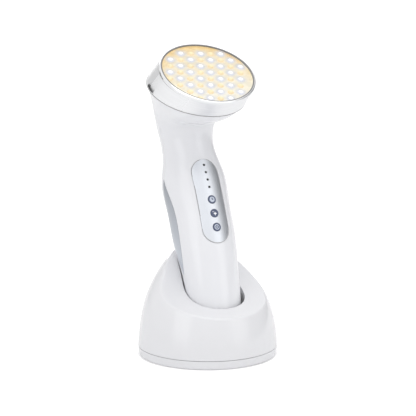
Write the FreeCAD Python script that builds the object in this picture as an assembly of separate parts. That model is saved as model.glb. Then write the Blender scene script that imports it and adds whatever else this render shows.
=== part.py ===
"""Light therapy wand standing in its charging cradle.

Millimetres, +Z up. The front of the wand faces -Y, its mirror plane is X = 0, and the
origin is the centre of the cradle's underside, on the surface that it stands on.

Three frames are used besides the row frame. The handset is drawn upright in its own frame, Z
along the handle from its lower end, and then leaned back into the cradle. The socket frame is
the same, moved sideways by the play of the loose socket. The head is drawn flat in a frame
with Z out of its face, and then set on the handset.
"""
import FreeCAD, Part
import math
import os
from functools import lru_cache

from FreeCAD import Placement, Rotation, Vector

os.makedirs("parts", exist_ok=True)

# How the handset stands
LEAN = 24.0                 # degrees that the handle leans back
HANDLE_FOOT = (-20.4, 16.6)  # y and z of the handle's lower end, on its axis
REST_GAP = 0.1              # handle's end above the socket's floor
REST_SHIFT = 1.0            # the handset leans to the left of its loose socket

# Handle form: height, reach to the front, reach to the back, half width
HANDLE_SECTIONS = [
    (0.0, 7.4, 16.2, 14.2),
    (16.0, 11.2, 17.8, 16.6),
    (41.0, 17.2, 17.6, 17.8),
    (61.0, 19.9, 20.9, 19.2),
    (81.0, 20.3, 21.5, 19.4),
    (100.0, 18.7, 21.2, 19.8),
    (116.0, 16.3, 17.4, 16.4),
]
# Neck form: front point and back point in the mirror plane, half width
NECK_SECTIONS = [
    ((-20.2, 128.3), (14.6, 138.9), 18.3),
    ((-30.9, 127.1), (10.5, 156.0), 21.6),
]
CHIN_POINT = (-0.5, -1.0)   # low point of the chin seam from the first neck section's front
CHIN_FALL = 1 / 3           # how steeply the chin seam falls ahead of that point
WALL = 2.2                  # handset casing
SEAM = 0.25                 # gap where two casing pieces meet
PARTING_Y = 1.5             # side seam of the handle, behind the axis
# The side seam above the handle: forward of the straight seam, height
PARTING_BEND = [(0.0, 115.0), (4.0, 132.0), (11.5, 147.0), (19.7, 158.2), (41.0, 184.0)]
FOOT_ROUND = 2.5            # rounding round the handle's lower end
CAP_HEIGHT = 9.0            # end cap
SPIGOT_LENGTH = 4.0         # cap's spigot inside the casing
SPIGOT_WALL = 1.5
FIT = 0.15                  # slip fit between pieces that plug together

# Head
FACE_CENTRE = (-46.9, 155.3)  # y and z of the middle of the rim's top
FACE_TILT = 37.9            # degrees that the face looks up from straight ahead
RIM_R = 30.3
RIM_HEIGHT = 2.8            # bead round the face
RIM_ROUND = 0.9
RIM_STEP = 0.6              # the band stands back from the bead
BAND_HALF_WIDTH = 30.7      # of the oval at the band's lower edge
BAND_HALF_SLOPE = 33.9
BAND_DEPTH = 19.1           # from the rim's top to the middle of the lower edge
BAND_SHIFT = 7.8            # how far the lower edge sits up the slope from the rim
BAND_TILT = 8.3             # degrees between the lower edge and the face
BAND_WALL = 1.5
BAND_STEP = 0.6             # the casing stands back from the band
LENS_R = 29.0
LENS_THICK = 1.2
LENS_SUNK = 1.2             # lens below the rim's top
TRAY_BORE_R = 28.1          # bore that takes the light tray
BORE_R = 26.6               # bore that takes the boards behind it
LED_R = 2.15
LED_HEIGHT = 1.8
LED_ROUND = 0.8
LED_ROW_PITCH = 6.15        # between the lights of a row
LED_ROW_TURN = -8.0         # degrees between the rows and the face's width
LED_COLUMN_PITCH = 6.35     # between the lights of a column
LED_COLUMN_TURN = 66.7      # degrees between the columns and the face's width
LED_START = (3.0, 1.7)      # a white light near the middle of the face
LED_FIELD_R = 25.4          # farthest light from the middle of the face
LED_GAP = 0.2               # between the lights and the lens
TRAY_SHEET = 0.7
TRAY_WALL = 1.0
LED_BOARD_THICK = 1.0
SPREADER_THICK = 0.8
LUG_ANGLES = (90.0, 210.0, 330.0)
LUG_WIDTH = 6.0
LUG_HEIGHT = 2.0
LUG_REACH = 2.2             # how far a snap lug reaches in under the spreader

# Control panel on the front of the handle
PANEL_MID = 80.8
PANEL_LENGTH = 53.8
PANEL_WIDTH = 17.8
PANEL_THICK = 1.4
PANEL_PROUD = 0.15
BUTTON_NAMES = ("power_button", "mode_button", "timer_button")
BUTTON_R = 2.6
LOW_BUTTON = 9.8            # lowest button above the panel's lower end
BUTTON_PITCH = 8.75
BUTTON_PROUD = 0.45
BUTTON_ROUND = 0.3
BUTTON_TRAVEL = 0.4
FLANGE_R = 3.4
FLANGE_THICK = 0.8
FLANGE_GAP = 0.5            # behind the curved casing wall
STEM_R = 1.3
STEM_GAP = 0.1              # left under the stem when the button is pressed
DOT_COUNT = 4
DOT_R = 0.75
DOT_START = 8.1             # lowest dot above the highest button
TOP_DOT = 3.9               # highest dot below the panel's upper end
DOT_FIT = 0.08

# Grip strips on the sides of the handle
GRIP_MID = 70.5
GRIP_LENGTH = 61.0
GRIP_WIDTH = 11.6
GRIP_THICK = 1.2
GRIP_PROUD = 0.12

# Electronics in the handle
BOARD_BOSS_HEIGHT = 2.65    # shortest boss, from the casing's inner face to the board
BOARD_THICK = 1.6
BOARD_HALF_WIDTH = 9.0
BOARD_BELOW = 8.0           # board below the panel's lower end
BOARD_ABOVE = -1.0          # board above the panel's upper end
SWITCH_SIZE = 6.0
SWITCH_HEIGHT = 3.5
WELL_DEPTH = 1.3
CHIP_SIZE = 1.4
CHIP_HEIGHT = 0.8
BOARD_BOSS_R = 1.9
BOARD_BOSS_X = 6.8
BOARD_BOSS_END = 4.0        # bosses in from the board's ends
SMALL_SCREW_R = 0.8
SMALL_HEAD_R = 1.6
SMALL_HEAD_HEIGHT = 1.1
SMALL_SCREW_GRIP = 2.2
TIP_ROOM = 0.4              # hole beyond a screw's tip
CELL_R = 7.1
CELL_LENGTH = 50.0
CELL_LOW = 48.0
CELL_CAP_R = 2.6
CELL_CAP_HEIGHT = 0.8
CELL_FIT = 0.2
RIB_THICK = 2.0
RIB_ROOT = 0.5              # how far a rib runs into the casing wall
RIB_END = 8.0               # ribs in from the cell's ends
SHELL_SCREW_HEIGHTS = (27.0, 116.0)
SHELL_SCREW_R = 1.25
SHELL_HEAD_R = 2.3
SHELL_HEAD_HEIGHT = 1.5
SHELL_SCREW_GRIP = 7.0
SHELL_BOSS_R = 3.5
BOSS_SEAT = 2.5             # boss floor under a screw head
SCREW_FIT = 0.06
LEAD_R = 0.7
ARC_SHARE = 0.45            # of the shorter run that an arc takes up
LEAD_TURN = 4.0             # straight run before a lead turns
CAP_LEAD_RISE = 2.5         # lead above the cell's cap
CABLE_R = 1.1
CABLE_DROP = 9.5            # cable's start below the board's upper end
CABLE_BACK = 8.0            # cable's run behind the board
CABLE_RISE = 24.0           # straight rise of the cable above the board
CABLE_END = 14.0            # straight run before the cable meets the spreader
PAD_X = 5.0                 # charge contacts each side of the mirror plane
PAD_Y = 4.0
PAD_R = 2.2
PAD_THICK = 1.2
PAD_SUNK = 1.0              # contact face above the handle's lower end

# Cradle
SEAM_HEIGHT = 5.5
BASE_R = 42.9               # radius of the base at its underside
BASE_FLARE = 0.5            # how much wider the base is at the seam
SEAM_R = BASE_R + BASE_FLARE
# Bell form: height, narrower than the seam across and in depth, shift to the back
BELL_SECTIONS = [
    (SEAM_HEIGHT, 0.0, 0.0, 0.0),
    (20.0, 1.4, 1.4, 0.3),
    (35.0, 5.4, 5.2, 1.8),
    (50.0, 13.9, 12.6, 4.4),
    (66.0, 27.8, 23.2, 7.2),
]
# Side view of the scooped top, front to back
SCOOP_LINE = [(-60.0, 26.5), (-39.0, 30.6), (-26.0, 34.0), (-10.0, 39.6), (3.0, 48.4),
              (11.0, 57.4), (17.5, 62.0), (27.0, 63.6), (50.0, 62.0)]
RIM_FILLET = 2.2
CRADLE_WALL = 2.2
MOUTH_GAP = 1.6             # between the handle and the mouth of the socket
SOCKET_GAP = 1.4            # between the handle and the socket's wall
SOCKET_WALL = 1.5
SOCKET_FLOOR = 2.0
SOCKET_BELOW = 22.0         # the handle's form carried on below its end, to cut the socket
CRADLE_SEAM = 0.3
BASE_FLOOR = 2.4
BASE_ROUND = 0.5
LIP_HEIGHT = 3.0            # base lip inside the bell
LIP_WALL = 1.6
SHEET_INSET = 4.5           # anti-slip pad in from the screw heads
SHEET_THICK = 1.6
SHEET_SHOWS = 0.3           # part of the pad below the base
POST_ANGLES = (22.0, 158.0, 202.0, 338.0)
POST_INSET = 7.9            # posts in from the base's edge
POST_R = 3.4
POST_SCREW_R = 1.3
POST_HEAD_R = 2.5
POST_HEAD_HEIGHT = 1.3
POST_HEAD_SUNK = 0.1
POST_SCREW_GRIP = 9.0
PIN_R = 1.0
PIN_ROUND = 0.7
PIN_FIT = 0.08
PIN_TRAVEL = 0.8
PIN_GAP = 0.1               # pin's tip below the contact at rest
PIN_LENGTH = 8.0
PIN_ROOM = 0.2              # left under a pin when it is pressed
BARREL_WALL = 0.6
BARREL_FLOOR = 0.6
CRADLE_BOARD_DROP = 3.0     # under the socket's floor
CRADLE_BOARD_THICK = 1.6
CRADLE_BOARD_HALF = 13.0    # half width
CRADLE_BOARD_AHEAD = 8.0    # board ahead of the contacts
CRADLE_BOARD_BEHIND = 4.0   # board behind the contacts
CRADLE_BOSS_X = 10.0
CRADLE_BOSS_AHEAD = 4.0     # bosses ahead of the contacts
CRADLE_BOSS_R = 2.2
JACK_HEIGHT = 11.6          # axis of the inlet above the surface
JACK_WIDTH = 9.0
JACK_TOP = 5.6              # housing above the inlet's axis
JACK_LENGTH = 13.0
JACK_BORE_R = 2.8
JACK_BORE_DEPTH = 9.5
JACK_PIN_R = 1.0
JACK_PIN_LENGTH = 9.0
JACK_GAP = 0.2              # housing inside the bell's wall
PLUG_HOLE_R = 4.2
LEAD_START = 4.5            # leads leave the inlet above the base's floor
LEAD_LIFT = 0.3             # leads above the base's floor

RING_POLES = 12             # control points round an oval
ROUND_SHARE = (2 + math.cos(2 * math.pi / RING_POLES)) / 3
FAR = 200.0                 # longer than anything here, for cutting tools
X = Vector(1, 0, 0)
Y = Vector(0, 1, 0)
Z = Vector(0, 0, 1)
ORIGIN = Vector(0, 0, 0)


def mid(point):
    """Point of the mirror plane from its y and z."""
    return Vector(0, point[0], point[1])


HANDSET = Placement(mid(HANDLE_FOOT), Rotation(X, -LEAN))
SOCKET = Placement(mid(HANDLE_FOOT) + X * REST_SHIFT, Rotation(X, -LEAN))
HEAD = Placement(mid(FACE_CENTRE), Rotation(X, 90.0 - FACE_TILT))

# Heights in the head's frame, down from the rim's top
LENS_TOP = -LENS_SUNK
LENS_SEAT = LENS_TOP - LENS_THICK
LED_TOP = LENS_SEAT - LED_GAP
LED_BOARD_TOP = LED_TOP - LED_HEIGHT
SPREADER_TOP = LED_BOARD_TOP - LED_BOARD_THICK
STACK_LOW = SPREADER_TOP - SPREADER_THICK
TRAY_R = TRAY_BORE_R - FIT
LED_BOARD_R = BORE_R - FIT

# Heights in the handset's frame
PANEL_LOW = PANEL_MID - PANEL_LENGTH / 2
PANEL_HIGH = PANEL_MID + PANEL_LENGTH / 2
BUTTON_HEIGHTS = [PANEL_LOW + LOW_BUTTON + BUTTON_PITCH * i for i in range(len(BUTTON_NAMES))]
LOW_DOT = BUTTON_HEIGHTS[-1] + DOT_START
DOT_PITCH = (PANEL_HIGH - TOP_DOT - LOW_DOT) / (DOT_COUNT - 1)
DOT_HEIGHTS = [LOW_DOT + DOT_PITCH * i for i in range(DOT_COUNT)]
BOARD_LOW = PANEL_LOW - BOARD_BELOW
BOARD_HIGH = PANEL_HIGH + BOARD_ABOVE
CELL_HIGH = CELL_LOW + CELL_LENGTH
CAP_FLOOR = PAD_SUNK + PAD_THICK
SEAM_FRONT = PARTING_Y - SEAM / 2
SEAM_BACK = PARTING_Y + SEAM / 2

# Heights in the socket's frame
FLOOR_TOP = -REST_GAP
FLOOR_LOW = FLOOR_TOP - SOCKET_FLOOR
CRADLE_BOARD_TOP = FLOOR_LOW - CRADLE_BOARD_DROP
CRADLE_BOARD_LOW = CRADLE_BOARD_TOP - CRADLE_BOARD_THICK
PIN_TIP = PAD_SUNK - PIN_GAP
PIN_LOW = PIN_TIP - PIN_LENGTH
BARREL_R = PIN_R + PIN_FIT + BARREL_WALL
BARREL_LOW = PIN_LOW - PIN_TRAVEL - PIN_ROOM - BARREL_FLOOR

# Heights in the row frame
BASE_LOW = SHEET_SHOWS
BASE_TOP = BASE_LOW + BASE_FLOOR
SCREW_SEAT = BASE_LOW + POST_HEAD_SUNK + POST_HEAD_HEIGHT
POST_RING = BASE_R - POST_INSET
SHEET_R = POST_RING - POST_HEAD_R - SHEET_INSET
POST_SCREW_TOP = BASE_TOP + POST_SCREW_GRIP


def placed(shape, *placements):
    """Copy of a shape moved by each placement in turn."""
    copy = shape.copy()
    for placement in placements:
        copy.Placement = placement.multiply(copy.Placement)
    return copy


def fuse(shapes):
    return shapes[0].multiFuse(shapes[1:]).removeSplitter()


def group(shapes):
    return Part.makeCompound(shapes)


def cylinder(radius, start, end):
    return Part.makeCylinder(radius, (end - start).Length, start, end - start)


def upright(radius, spot, low, high):
    return cylinder(radius, spot + Z * low, spot + Z * high)


def along_y(radius, x, z, y_start, y_end):
    return cylinder(radius, Vector(x, y_start, z), Vector(x, y_end, z))


def disc(radius, top, thickness):
    return upright(radius, ORIGIN, top - thickness, top)


def box(low, high):
    size = Vector(*high) - Vector(*low)
    return Part.makeBox(size.x, size.y, size.z, Vector(*low))


def slab(low, high):
    """Everything between two heights."""
    return box((-FAR, -FAR, low), (FAR, FAR, high))


def rounded_cylinder(radius, start, end, rounding):
    """Cylinder whose far edge is rounded."""
    solid = cylinder(radius, start, end)
    far = [e for e in solid.Edges if len(e.Vertexes) == 1 and e.CenterOfMass.isEqual(end, radius / 10)]
    return solid.makeFillet(rounding, far)


def side_prism(edges):
    """Solid across the whole width from a closed outline in the mirror plane."""
    face = Part.Face(Part.Wire(Part.__sortEdges__(edges)))
    face.translate(X * -FAR)
    return face.extrude(X * (2 * FAR))


def polygon_edges(points):
    return [Part.makeLine(a, b) for a, b in zip(points, points[1:])]


def spline_edge(points):
    curve = Part.BSplineCurve()
    curve.interpolate(points)
    return curve.toShape()


def ring_poles(front, back, half_width):
    """Control points of one oval across X, closed in itself.

    A closed cubic curve stays inside its control points by the factor ROUND_SHARE, so they are
    set that much farther out.
    """
    centre = (front + back) * 0.5
    reach = back - centre
    points = []
    for i in range(RING_POLES):
        turn = 2 * math.pi * i / RING_POLES
        out = X * (half_width * math.cos(turn)) + reach * math.sin(turn)
        points.append(centre + out * (1 / ROUND_SHARE))
    return points


def skin(ovals):
    """Smooth solid through ovals, each given by its front point, back point and half width."""
    widths = [Vector(w, 0, i) for i, (f, b, w) in enumerate(ovals)]
    tracks = [[f for f, b, w in ovals], [b for f, b, w in ovals], widths]
    spans = [((f1 - f0).Length + (b1 - b0).Length) / 2
             for (f0, b0, w0), (f1, b1, w1) in zip(ovals, ovals[1:])]
    stops = [sum(spans[:i]) / sum(spans) for i in range(len(ovals))]
    curves = []
    for track in tracks:
        curve = Part.BSplineCurve()
        curve.interpolate(Points=track, Parameters=stops)
        curves.append(curve)
    fronts, backs, widths = [curve.getPoles() for curve in curves]
    rings = [ring_poles(f, b, w.x) for f, b, w in zip(fronts, backs, widths)]
    surface = Part.BSplineSurface()
    surface.buildFromPolesMultsKnots(
        [list(row) for row in zip(*rings)], [1] * (RING_POLES + 1), curves[0].getMultiplicities(),
        [i / RING_POLES for i in range(RING_POLES + 1)], curves[0].getKnots(),
        True, False, 3, curves[0].Degree)
    ends = [Part.Face(Part.Wire(surface.vIso(v).toShape())) for v in (0.0, 1.0)]
    shell = Part.makeShell([surface.toShape()] + ends)
    shell.sewShape()
    solid = Part.makeSolid(shell)
    if solid.Volume < 0:
        solid.reverse()
    return solid


def grown(front, back, half_width, grow):
    """The same oval, larger or smaller by a distance all round."""
    out = (back - front).normalize() * grow
    return front - out, back + out, half_width + grow


def routed_tube(points, radius):
    """Round lead along straight runs joined by arcs as large as the runs allow."""
    edges = []
    start = points[0]
    for before, corner, after in zip(points, points[1:], points[2:]):
        a = before - corner
        b = after - corner
        turn = math.pi - a.getAngle(b)
        trim = ARC_SHARE * min(a.Length, b.Length)
        arc_r = trim / math.tan(turn / 2)
        a.normalize()
        b.normalize()
        inward = (a + b).normalize()
        centre = corner + inward * math.hypot(trim, arc_r)
        edges.append(Part.makeLine(start, corner + a * trim))
        edges.append(Part.Arc(corner + a * trim, centre - inward * arc_r, corner + b * trim).toShape())
        start = corner + b * trim
    edges.append(Part.makeLine(start, points[-1]))
    section = Part.Wire(Part.Circle(points[0], points[1] - points[0], radius).toShape())
    return Part.Wire(edges).makePipeShell([section], True, False)


def headed_screw(shank_r, head_r, seat, tip, head_height):
    """Screw whose head sits on a seat, with its shank running to a tip."""
    out = (seat - tip).normalize()
    return fuse([cylinder(shank_r, seat, tip), cylinder(head_r, seat, seat + out * head_height)])


# Forms that several pieces share

def band_edge(shrink=0.0):
    """Oval of the band's lower edge, in the head's frame."""
    tilt = math.radians(BAND_TILT)
    centre = Vector(0, BAND_SHIFT, -BAND_DEPTH)
    reach = Vector(0, math.cos(tilt), -math.sin(tilt)) * BAND_HALF_SLOPE
    return grown(centre - reach, centre + reach, BAND_HALF_WIDTH, -shrink)


def band_level(depth, shrink=0.0):
    """Oval of the band's oblique face at one depth below the rim's top, in the head's frame."""
    front, back, half = band_edge()
    top_r = RIM_R - RIM_STEP
    ends = []
    for start, end in ((Vector(0, -top_r, 0), front), (Vector(0, top_r, 0), back)):
        ends.append(start + (end - start) * (depth / -end.z))
    half_here = top_r + (half - top_r) * depth / BAND_DEPTH
    return grown(ends[0], ends[1], half_here, -shrink)


def handle_ovals(grow, below=0.0):
    """Ovals of the handle, continued straight down by a distance if one is given."""
    ovals = []
    for height, front, back, half in HANDLE_SECTIONS:
        ovals.append(grown(Vector(0, -front, height), Vector(0, back, height), half, grow))
    if below:
        front, back, half = ovals[0]
        ovals.insert(0, (front - Z * below, back - Z * below, half))
    return ovals


@lru_cache
def body_form(grow=0.0):
    """Handle and neck up to the band, grown or shrunk by a distance, in the handset's frame."""
    ovals = handle_ovals(grow)
    for front, back, half in NECK_SECTIONS:
        ovals.append(grown(mid(front), mid(back), half, grow))
    front, back, half = band_edge(BAND_STEP)
    ovals.append(grown(HEAD.multVec(front), HEAD.multVec(back), half, grow))
    return skin(ovals)


@lru_cache
def bell_form(shrink=0.0):
    """The cradle's bell without its scooped top, in the row frame."""
    ovals = []
    for height, inset_x, inset_y, shift in BELL_SECTIONS:
        level = height - shrink if height == SEAM_HEIGHT else height
        half_y = SEAM_R - inset_y
        front, back = mid((shift - half_y, level)), mid((shift + half_y, level))
        ovals.append(grown(front, back, SEAM_R - inset_x, -shrink))
    return skin(ovals)


def socket_form(gap):
    """Room for the handle with a gap all round, carried on below it, in the socket's frame."""
    return skin(handle_ovals(gap, below=SOCKET_BELOW))


def below_scoop(drop=0.0):
    """Everything under the scooped top, lowered square to it by a distance."""
    points = [mid(p) for p in SCOOP_LINE]
    lowered = []
    for i, point in enumerate(points):
        ahead = points[min(i + 1, len(points) - 1)] - points[max(i - 1, 0)]
        lowered.append(point + Vector(0, ahead.z, -ahead.y).normalize() * drop)
    first, last = lowered[0], lowered[-1]
    corners = [last, mid((last.y, -FAR)), mid((first.y, -FAR)), first]
    return side_prism([spline_edge(lowered)] + polygon_edges(corners))


def reach_y(solid, x, z, front=True):
    """Y of a solid's foremost or rearmost point on a line along Y."""
    hits = solid.common(Part.makeLine(Vector(x, -FAR, z), Vector(x, FAR, z))).Vertexes
    return min(v.Y for v in hits) if front else max(v.Y for v in hits)


# Head pieces, in the head's frame

def led_places(colour=None):
    """Slanted grid of lights on the face, of one colour or of both."""
    across = Rotation(Z, LED_ROW_TURN).multVec(X) * LED_ROW_PITCH
    up = Rotation(Z, LED_COLUMN_TURN).multVec(X) * LED_COLUMN_PITCH
    count = int(2 * LED_FIELD_R / LED_ROW_PITCH)
    places = []
    for i in range(-count, count + 1):
        for j in range(-count, count + 1):
            place = Vector(*LED_START, 0) + across * i + up * j
            own = "white" if (i + j) % 2 == 0 else "amber"
            if place.Length <= LED_FIELD_R and colour in (None, own):
                places.append(place)
    return places


def head_band():
    bead = disc(RIM_R, 0.0, RIM_HEIGHT)
    bead = bead.makeFillet(RIM_ROUND, [e for e in bead.Edges if len(e.Vertexes) == 1])
    band = fuse([bead, skin([band_level(RIM_HEIGHT / 2), band_edge()])])
    lugs = []
    for angle in LUG_ANGLES:
        lug = box((BORE_R - LUG_REACH, -LUG_WIDTH / 2, STACK_LOW - LUG_HEIGHT),
                  (BORE_R + RIM_R, LUG_WIDTH / 2, STACK_LOW))
        lugs.append(placed(lug, Placement(ORIGIN, Rotation(Z, angle))).common(band))
    hollow = skin([band_level(-STACK_LOW, BAND_WALL), band_edge(BAND_WALL)])
    lens_pocket = upright(LENS_R + FIT, ORIGIN, LENS_SEAT, RIM_HEIGHT)
    tray_bore = upright(TRAY_BORE_R, ORIGIN, LED_BOARD_TOP, 0.0)
    board_bore = upright(BORE_R, ORIGIN, STACK_LOW, 0.0)
    return fuse([band.cut(hollow).cut(lens_pocket).cut(tray_bore).cut(board_bore)] + lugs)


def light_tray():
    """Dished sheet between lens and board with a hole for each light."""
    tray = upright(TRAY_R, ORIGIN, LED_BOARD_TOP, LENS_SEAT)
    tray = tray.cut(upright(TRAY_R - TRAY_WALL, ORIGIN, LED_BOARD_TOP + TRAY_SHEET, 0.0))
    return tray.cut(group([upright(LED_R + FIT, spot, LED_BOARD_TOP, 0.0) for spot in led_places()]))


def lights(colour):
    return group([rounded_cylinder(LED_R, spot + Z * LED_BOARD_TOP, spot + Z * LED_TOP, LED_ROUND)
                  for spot in led_places(colour)])


# Control panel pieces, in the handset's frame

def capsule_prism(grow=0.0):
    """Outline of the panel, larger by a distance, drawn through the front of the handle."""
    r = PANEL_WIDTH / 2 + grow
    low = PANEL_LOW + PANEL_WIDTH / 2
    high = PANEL_HIGH - PANEL_WIDTH / 2
    right = Part.makeLine(Vector(r, 0, low), Vector(r, 0, high))
    top = Part.Arc(Vector(r, 0, high), Vector(0, 0, high + r), Vector(-r, 0, high)).toShape()
    left = Part.makeLine(Vector(-r, 0, high), Vector(-r, 0, low))
    bottom = Part.Arc(Vector(-r, 0, low), Vector(0, 0, low - r), Vector(r, 0, low)).toShape()
    return Part.Face(Part.Wire([right, top, left, bottom])).extrude(Y * -FAR)


@lru_cache
def board_front():
    """Y of the main board's front face, on the boss that stands on the rearmost stretch of wall."""
    return max(reach_y(body_form(-WALL), x, z) for x, z in boss_spots()) + BOARD_BOSS_HEIGHT


def board_back():
    return board_front() + BOARD_THICK


def flange_front(z):
    return reach_y(body_form(-WALL), 0, z) + FLANGE_GAP


def panel_openings():
    holes = [along_y(BUTTON_R + FIT, 0, z, -FAR, flange_front(z)) for z in BUTTON_HEIGHTS]
    holes += [along_y(DOT_R + DOT_FIT, 0, z, -FAR, board_front()) for z in DOT_HEIGHTS]
    return group(holes)


def control_panel():
    plate = body_form(PANEL_PROUD).common(capsule_prism()).cut(body_form(-PANEL_THICK))
    return plate.cut(panel_openings())


def button(z):
    """Cap in the panel, a flange behind the casing that keeps it in, and a stem to the switch."""
    face = reach_y(body_form(), 0, z) - BUTTON_PROUD
    flange = flange_front(z)
    stem_end = board_front() - SWITCH_HEIGHT + WELL_DEPTH - BUTTON_TRAVEL - STEM_GAP
    cap = rounded_cylinder(BUTTON_R, Vector(0, flange, z), Vector(0, face, z), BUTTON_ROUND)
    collar = along_y(FLANGE_R, 0, z, flange, flange + FLANGE_THICK)
    return fuse([cap, collar, along_y(STEM_R, 0, z, flange, stem_end)])


def button_switches():
    half = SWITCH_SIZE / 2
    top = board_front() - SWITCH_HEIGHT
    switches = []
    for z in BUTTON_HEIGHTS:
        body = box((-half, top, z - half), (half, board_front(), z + half))
        switches.append(body.cut(along_y(STEM_R + FIT, 0, z, top, top + WELL_DEPTH)))
    return group(switches)


def indicator_pipes():
    """Clear rods that carry the light of the indicators to the panel."""
    end = board_front() - CHIP_HEIGHT - FIT
    return group([along_y(DOT_R, 0, z, reach_y(body_form(PANEL_PROUD), 0, z), end) for z in DOT_HEIGHTS])


def indicator_lights():
    half = CHIP_SIZE / 2
    return group([box((-half, board_front() - CHIP_HEIGHT, z - half), (half, board_front(), z + half))
                  for z in DOT_HEIGHTS])


# Board and battery, in the handset's frame

def boss_spots():
    return [(x, z) for x in (-BOARD_BOSS_X, BOARD_BOSS_X)
            for z in (BOARD_LOW + BOARD_BOSS_END, BOARD_HIGH - BOARD_BOSS_END)]


def main_board():
    board = box((-BOARD_HALF_WIDTH, board_front(), BOARD_LOW), (BOARD_HALF_WIDTH, board_back(), BOARD_HIGH))
    return board.cut(group([along_y(SMALL_SCREW_R + FIT, x, z, board_front(), board_back())
                            for x, z in boss_spots()]))


def board_screws():
    return group([headed_screw(SMALL_SCREW_R, SMALL_HEAD_R, Vector(x, board_back(), z),
                               Vector(x, board_front() - SMALL_SCREW_GRIP, z), SMALL_HEAD_HEIGHT)
                  for x, z in boss_spots()])


@lru_cache
def cell_y():
    """Y of the cell's axis, against the back of the casing at its lower end."""
    return reach_y(body_form(-WALL), 0, CELL_LOW, front=False) - CELL_R - CELL_FIT


def battery_cell():
    spot = Y * cell_y()
    return fuse([upright(CELL_R, spot, CELL_LOW, CELL_HIGH),
                 upright(CELL_CAP_R, spot, CELL_HIGH, CELL_HIGH + CELL_CAP_HEIGHT)])


def cell_ribs():
    """Saddles in the rear casing that the cell lies in."""
    room = upright(CELL_R + CELL_FIT, Y * cell_y(), 0.0, FAR)
    ribs = []
    for z in (CELL_LOW + RIB_END, CELL_HIGH - RIB_END):
        rib = box((-FAR, cell_y(), z - RIB_THICK / 2), (FAR, FAR, z + RIB_THICK / 2))
        ribs.append(rib.common(body_form(RIB_ROOT - WALL)).cut(room))
    return ribs


# Casing pieces, in the handset's frame

def parting_prism(front):
    """Everything in front of the side seam, or everything behind it."""
    y = SEAM_FRONT if front else SEAM_BACK
    seam = [mid((y, -FAR)), mid((y, 0.0))] + [mid((y - ahead, z)) for ahead, z in PARTING_BEND]
    first, last = seam[0], seam[-1]
    far_y = -FAR if front else FAR
    corners = [last, mid((last.y, FAR)), mid((far_y, FAR)), mid((far_y, first.z)), first]
    return side_prism([spline_edge(seam)] + polygon_edges(corners))


def chin_prism(shift=0.0):
    """Everything in front of the slanted seam under the band, moved by a distance along Y."""
    ring = HEAD.multVec(Vector(0, BAND_SHIFT, -BAND_DEPTH))
    neck = mid(NECK_SECTIONS[0][0]) + mid(CHIN_POINT) + Y * shift
    high = ring + (ring - neck).normalize() * FAR + Y * shift
    low = neck - (Y + Z * CHIN_FALL) * FAR
    return side_prism(polygon_edges([high, neck, low, mid((low.y, high.z)), high]))


@lru_cache
def casing():
    """Hollow casing above the end cap, before it is split."""
    return body_form().cut(body_form(-WALL)).common(slab(CAP_HEIGHT, 2 * FAR))


def grip_prism(side, grow=0.0):
    """Pointed strip outline on one side, larger by a distance and by twice that at its points."""
    half_length = GRIP_LENGTH / 2 + 2 * grow
    half_width = GRIP_WIDTH / 2 + grow
    low = Vector(0, PARTING_Y, GRIP_MID - half_length)
    high = Vector(0, PARTING_Y, GRIP_MID + half_length)
    front = Part.Arc(low, Vector(0, PARTING_Y - half_width, GRIP_MID), high).toShape()
    back = Part.Arc(high, Vector(0, PARTING_Y + half_width, GRIP_MID), low).toShape()
    return Part.Face(Part.Wire([front, back])).extrude(X * (FAR * side))


def grip(side):
    return body_form(GRIP_PROUD).cut(body_form(-GRIP_THICK)).common(grip_prism(side))


@lru_cache
def grip_pockets():
    return group([grip_prism(side, FIT).cut(body_form(-GRIP_THICK)) for side in (-1, 1)])


def shell_screws():
    return group([headed_screw(SHELL_SCREW_R, SHELL_HEAD_R, Vector(0, SEAM_BACK + BOSS_SEAT, z),
                               Vector(0, SEAM_FRONT - SHELL_SCREW_GRIP, z), SHELL_HEAD_HEIGHT)
                  for z in SHELL_SCREW_HEIGHTS])


def front_shell():
    shell = casing().common(parting_prism(True)).cut(chin_prism(SEAM))
    bosses = [along_y(BOARD_BOSS_R, x, z, board_front(), -FAR) for x, z in boss_spots()]
    bosses += [along_y(SHELL_BOSS_R, 0, z, SEAM_FRONT, -FAR) for z in SHELL_SCREW_HEIGHTS]
    shell = fuse([shell] + [boss.common(body_form(-PANEL_THICK)) for boss in bosses])
    small_tip = board_front() - SMALL_SCREW_GRIP - TIP_ROOM
    large_tip = SEAM_FRONT - SHELL_SCREW_GRIP - TIP_ROOM
    pilots = [along_y(SMALL_SCREW_R + SCREW_FIT, x, z, board_front(), small_tip) for x, z in boss_spots()]
    pilots += [along_y(SHELL_SCREW_R + SCREW_FIT, 0, z, SEAM_FRONT, large_tip) for z in SHELL_SCREW_HEIGHTS]
    panel_pocket = capsule_prism(FIT).cut(body_form(-PANEL_THICK))
    return shell.cut(group(pilots)).cut(panel_pocket).cut(panel_openings()).cut(grip_pockets())


def rear_shell():
    shell = casing().common(parting_prism(False)).cut(chin_prism(SEAM))
    bosses = [along_y(SHELL_BOSS_R, 0, z, SEAM_BACK, FAR).common(body_form(-PANEL_THICK))
              for z in SHELL_SCREW_HEIGHTS]
    shell = fuse([shell] + bosses + cell_ribs())
    for z in SHELL_SCREW_HEIGHTS:
        shell = shell.cut(along_y(SHELL_SCREW_R + FIT, 0, z, SEAM_BACK, FAR))
        shell = shell.cut(along_y(SHELL_HEAD_R + FIT, 0, z, SEAM_BACK + BOSS_SEAT, FAR))
    return shell.cut(grip_pockets())


def chin_cover():
    return casing().common(chin_prism())


def pad_spots():
    return [Vector(side * PAD_X, PAD_Y, 0) for side in (-1, 1)]


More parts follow.
